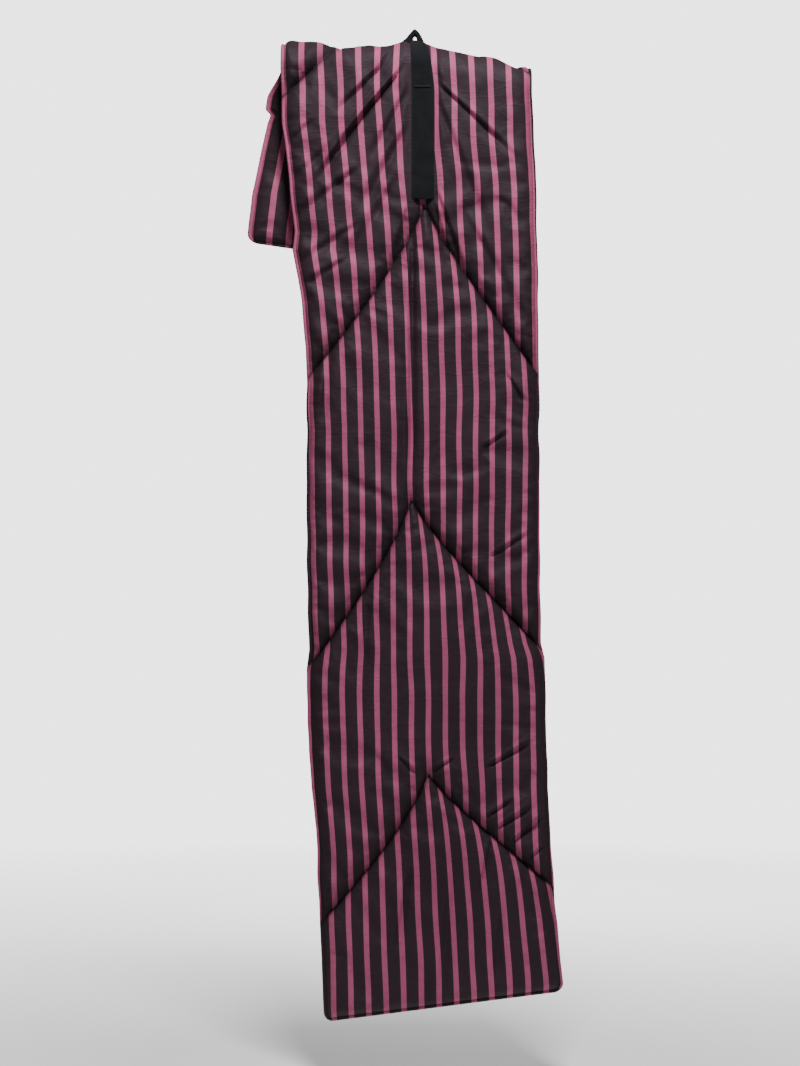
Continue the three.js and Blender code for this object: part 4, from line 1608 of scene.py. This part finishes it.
@dataclass
class HangLoop:
    """The gathered loop of tape that the hook passes through."""

    tape: float = 0.0118
    inner: tuple[tuple[float, float], ...] = (
        (-0.0034, -0.0200), (-0.0033, -0.0130), (-0.0031, -0.0060), (-0.0024, -0.0016),
        (0.0, 0.0002), (0.0024, -0.0016), (0.0031, -0.0060), (0.0033, -0.0130), (0.0034, -0.0200),
    )
    outer: tuple[tuple[float, float], ...] = (
        (-0.0280, -0.0200), (-0.0235, -0.0100), (-0.0160, -0.0026), (-0.0085, 0.0060),
        (-0.0010, 0.0132), (0.0050, 0.0100), (0.0100, 0.0030), (0.0146, -0.0065),
        (0.0168, -0.0170),
    )
    steps: int = 80
    around: int = 28

    def _line(self, knots: np.ndarray) -> np.ndarray:
        """A smooth line through knots, from the loop's left foot over the hole to the right one.

        Args:
            knots: Places as [across, up].

        Returns:
            Points along the line.
        """
        places = np.linspace(0, len(knots) - 1, self.steps)
        whole = np.clip(places.astype(int), 0, len(knots) - 2)
        padded = np.vstack([2 * knots[0] - knots[1], knots, 2 * knots[-1] - knots[-2]])
        t = (places - whole)[:, None]
        a, b, c, d = (padded[whole + k] for k in range(4))
        square, cube = 2 * a - 5 * b + 4 * c - d, 3 * b - a - 3 * c + d
        return 0.5 * (2 * b + (c - a) * t + square * t**2 + cube * t**3)

    def build(self, finish: Material) -> Object:
        """Builds the loop.

        Args:
            finish: The tape's material.

        Returns:
            The loop.
        """
        inner = self._line(np.array(self.inner))
        outer = self._line(np.array(self.outer))
        middle = (inner + outer) / 2
        along = np.concatenate([[0], np.cumsum(np.linalg.norm(np.diff(middle, axis=0), axis=1))])
        noise = Noise(77)
        rings, uv = [], []
        for i, centre in enumerate(middle):
            half = (outer[i] - inner[i]) / 2
            ring, marks = [], []
            for j in range(self.around):
                angle = 2 * math.pi * j / self.around
                uneven = float(noise(angle * 2.2 + 4, along[i] / 0.006))
                gather = 1 + 0.10 * math.cos(angle * 7 + 1.3) + 0.10 * uneven
                side = self.tape / 2 * math.copysign(abs(math.cos(angle)) ** 0.8, math.cos(angle))
                across, up = centre + half * math.sin(angle) * min(gather, 1.04)
                ring.append((across, side * min(gather, 1.1), up))
                marks.append((angle * 0.006, along[i]))
            marks.append((2 * math.pi * 0.006, along[i]))
            rings.append(ring)
            uv.append(marks)
        return skin_of_rings("hang_loop_tape", np.array(rings), np.array(uv), finish)


# ---- setting -------------------------------------------------------------------------------------
# Each lamp's name, place, power, size and the level that it is aimed at
LAMPS = (
    ("key", (0.15, -1.35, 1.34), 86.0, 0.5, -0.72),
    ("front", (0.9, -3.0, 0.6), 9.0, 1.2, -0.55),
    ("rear", (0.6, 3.0, -0.30), 90.0, 1.2, -0.80),
)


@dataclass
class Studio:
    """A pale floor in a white room, soft lights and the camera."""

    floor_level: float = -1.80
    floor_size: float = 4.0
    distance: float = 5.041
    view_height: float = 1.8335
    centre: tuple[float, float] = (-0.0258, -0.860)
    ambient: float = 0.13
    white: float = 3.2

    def build(self) -> None:
        """Builds everything that isn't part of the object."""
        self._floor()
        for name, place, power, size, aim in LAMPS:
            self._light(name, place, power, size, (0.0, 0.0, aim))
        self._world()
        self._camera()

    def _world(self) -> None:
        """A white room that gives only a little light."""
        world = bpy.data.worlds.new("studio")
        world.use_nodes = True
        tree = world.node_tree
        background = tree.nodes["Background"]
        background.inputs["Color"].default_value = (1.0, 1.0, 1.0, 1.0)
        seen = tree.nodes.new("ShaderNodeLightPath").outputs["Is Camera Ray"]
        strength = tree.nodes.new("ShaderNodeMapRange")
        strength.inputs["To Min"].default_value = self.ambient
        strength.inputs["To Max"].default_value = self.white
        tree.links.new(seen, strength.inputs["Value"])
        tree.links.new(strength.outputs[0], background.inputs["Strength"])
        bpy.context.scene.world = world

    def _floor(self) -> None:
        """A round floor that fades out towards its edge."""
        around = 96
        rim = [
            (self.floor_size * math.cos(a), self.floor_size * math.sin(a), self.floor_level)
            for a in np.linspace(0, 2 * math.pi, around, endpoint=False)
        ]
        mesh = bpy.data.meshes.new("floor")
        mesh.from_pydata(rim, [], [tuple(range(around))])
        nodes = Nodes("pale_floor")
        place = nodes.add("ShaderNodeTexCoord").outputs["Object"]
        flat = nodes.add("ShaderNodeVectorMath", operation="MULTIPLY")
        nodes.link(place, flat.inputs[0])
        flat.inputs[1].default_value = (1.0, 1.0, 0.0)
        length = nodes.add("ShaderNodeVectorMath", operation="LENGTH")
        nodes.link(flat.outputs[0], length.inputs[0])
        grey = nodes.grey(nodes.spread(nodes.noise(place, 3.0), 0.3, 0.7, 0.92, 0.94))
        fade = nodes.spread(length.outputs["Value"], 0.5, 0.97 * self.floor_size, 0.0, 1.0)
        mesh.materials.append(nodes.finish(grey, 0.9, None))
        output = next(node for node in nodes.tree.nodes if node.type == "OUTPUT_MATERIAL")
        surface = output.inputs[0].links[0].from_socket
        mixed = nodes.add("ShaderNodeMixShader")
        nodes.link(fade, mixed.inputs[0])
        nodes.link(surface, mixed.inputs[1])
        nodes.link(nodes.add("ShaderNodeBsdfTransparent").outputs[0], mixed.inputs[2])
        nodes.link(mixed.outputs[0], output.inputs[0])
        floor = put_in("floor", mesh)

    @staticmethod
    def _light(name: str, place: tuple, power: float, size: float, target: tuple) -> None:
        """A soft square lamp aimed at a point."""
        data = bpy.data.lights.new(name, "AREA")
        data.energy, data.size = power, size
        lamp = put_in(name, data)
        lamp.location = place
        lamp.rotation_euler = (Vector(target) - Vector(place)).to_track_quat("-Z", "Y").to_euler()

    def _camera(self) -> None:
        """The camera, level with the middle of the quilt."""
        data = bpy.data.cameras.new("camera")
        data.sensor_width = 36.0
        front = -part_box("shell_middle")[0].y
        data.lens = data.sensor_width * (self.distance - front) / self.view_height
        camera = put_in("camera", data)
        camera.location = (self.centre[0], -self.distance, self.centre[1])
        camera.rotation_euler = (math.pi / 2, 0.0, 0.0)
        bpy.context.scene.camera = camera


def side_nodes(*parts: str) -> list[str]:
    """Names of both side seams' nodes."""
    return [f"side_seam_{side}_{part}" for side in ("left", "right") for part in parts]


STRETCH_NODES = {
    Stretch.BACK: ["shell_back_flap", "lining_back_flap", "filling_back_flap", "flap_hem_seam"]
    + side_nodes("back_flap"),
    Stretch.UPPER: ["shell_upper", "lining_upper", "filling_top", "filling_upper_below_seam"]
    + ["filling_middle_above_seam"] + side_nodes("upper"),
    Stretch.LOWER: ["shell_middle", "lining_middle", "filling_middle_below_seam"]
    + ["filling_lower_above_seam", "shell_lower", "lining_lower", "filling_lower_below_seam"]
    + ["hem_seam"] + side_nodes("middle", "lower"),
}
SEAM_BODIES = ("upper_panel", "upper_panel", "middle_panel", "lower_panel")
SEAM_NODES = (
    ("top_seam_left", "top_seam_right"), ("quilting_seam_upper",),
    ("quilting_seam_middle",), ("quilting_seam_lower",),
)


def sew_quilt(cloth: QuiltCloth, tree: StitchTree, thread: Material) -> None:
    """Sews the quilting seams and the edges.

    Args:
        cloth: The cloth.
        tree: The stitching.
        thread: The thread's material.
    """
    for number, seam in enumerate(cloth.seams):
        lines = [cloth.seam_line(number, False)]
        if number == 0:
            lines = np.split(lines[0], [front_break(cloth)])
        row = tree.sew(f"stitches_{seam.name}_seam", lines, thread)
        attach(row, SEAM_BODIES[number])
        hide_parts(*SEAM_NODES[number])
    behind = tree.sew("stitches_top_seam_behind", [cloth.seam_line(0, True)], thread)
    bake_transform(behind)
    for stretch in Stretch:
        edge = tree.sew(f"stitches_edge_{stretch.value}", cloth.edge_lines(stretch), thread)
        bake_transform(edge)


def front_break(cloth: QuiltCloth) -> int:
    """How many corners of the top seam lie in front of the ridge on its left arm."""
    chain = cloth.chains[0][1:-1]
    return sum(1 for row, column in chain if row >= cloth.ridge_row and column < cloth.columns / 2)


def sew_tacks(tree: StitchTree, thread: Material) -> None:
    """Sews the two bar tacks, close slanting stitches over the strap.

    Args:
        tree: The stitching.
        thread: The thread's material.
    """
    for name in ("loop_bar_tack", "strap_bar_tack"):
        low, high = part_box(name)
        middle = (low + high) / 2
        ends = [(low.x + 0.001, middle.y, middle.z), (high.x - 0.001, middle.y, middle.z)]
        piece = tree.sew(
            name.replace("_bar", ""), [np.array(ends)], thread,
            turn=math.radians(82), Pitch=0.0008, Length=high.z - low.z, Thickness=0.0009,
        )
        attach(piece, "upper_panel")
        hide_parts(name)


def dress_quilt(cloth: QuiltCloth) -> None:
    """Builds the quilt's three stretches.

    Args:
        cloth: The cloth.
    """
    striped, wadding = StripedCloth().material(), Wadding().material()
    for stretch in Stretch:
        piece = cloth.piece(stretch, striped, wadding)
        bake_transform(piece)
        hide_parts(*STRETCH_NODES[stretch])
        LOG.info("%s: %d faces", piece.name, len(piece.data.polygons))


def main() -> None:
    """Builds every piece in order."""
    logging.basicConfig(level=logging.INFO, format="%(name)s: %(message)s")
    Studio().build()
    shape = HangingShape()
    cloth = QuiltCloth(shape)
    cloth.build()
    dress_quilt(cloth)
    tree = StitchTree()
    dark_thread = SewingThread("dark_thread", (0.016, 0.012, 0.014, 1.0))
    sew_quilt(cloth, tree, dark_thread.material())
    black_thread = SewingThread("black_thread", (0.008, 0.008, 0.010, 1.0))
    sew_tacks(tree, black_thread.material())
    tape = BlackTape().material()
    strap = Strap(shape).build(tape)
    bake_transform(strap)
    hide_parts("strap_sewn_part", "strap_tail")
    loop = HangLoop().build(tape)
    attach(loop, "upper_panel")
    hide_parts("hang_loop")


if __name__ == "__main__":
    main()
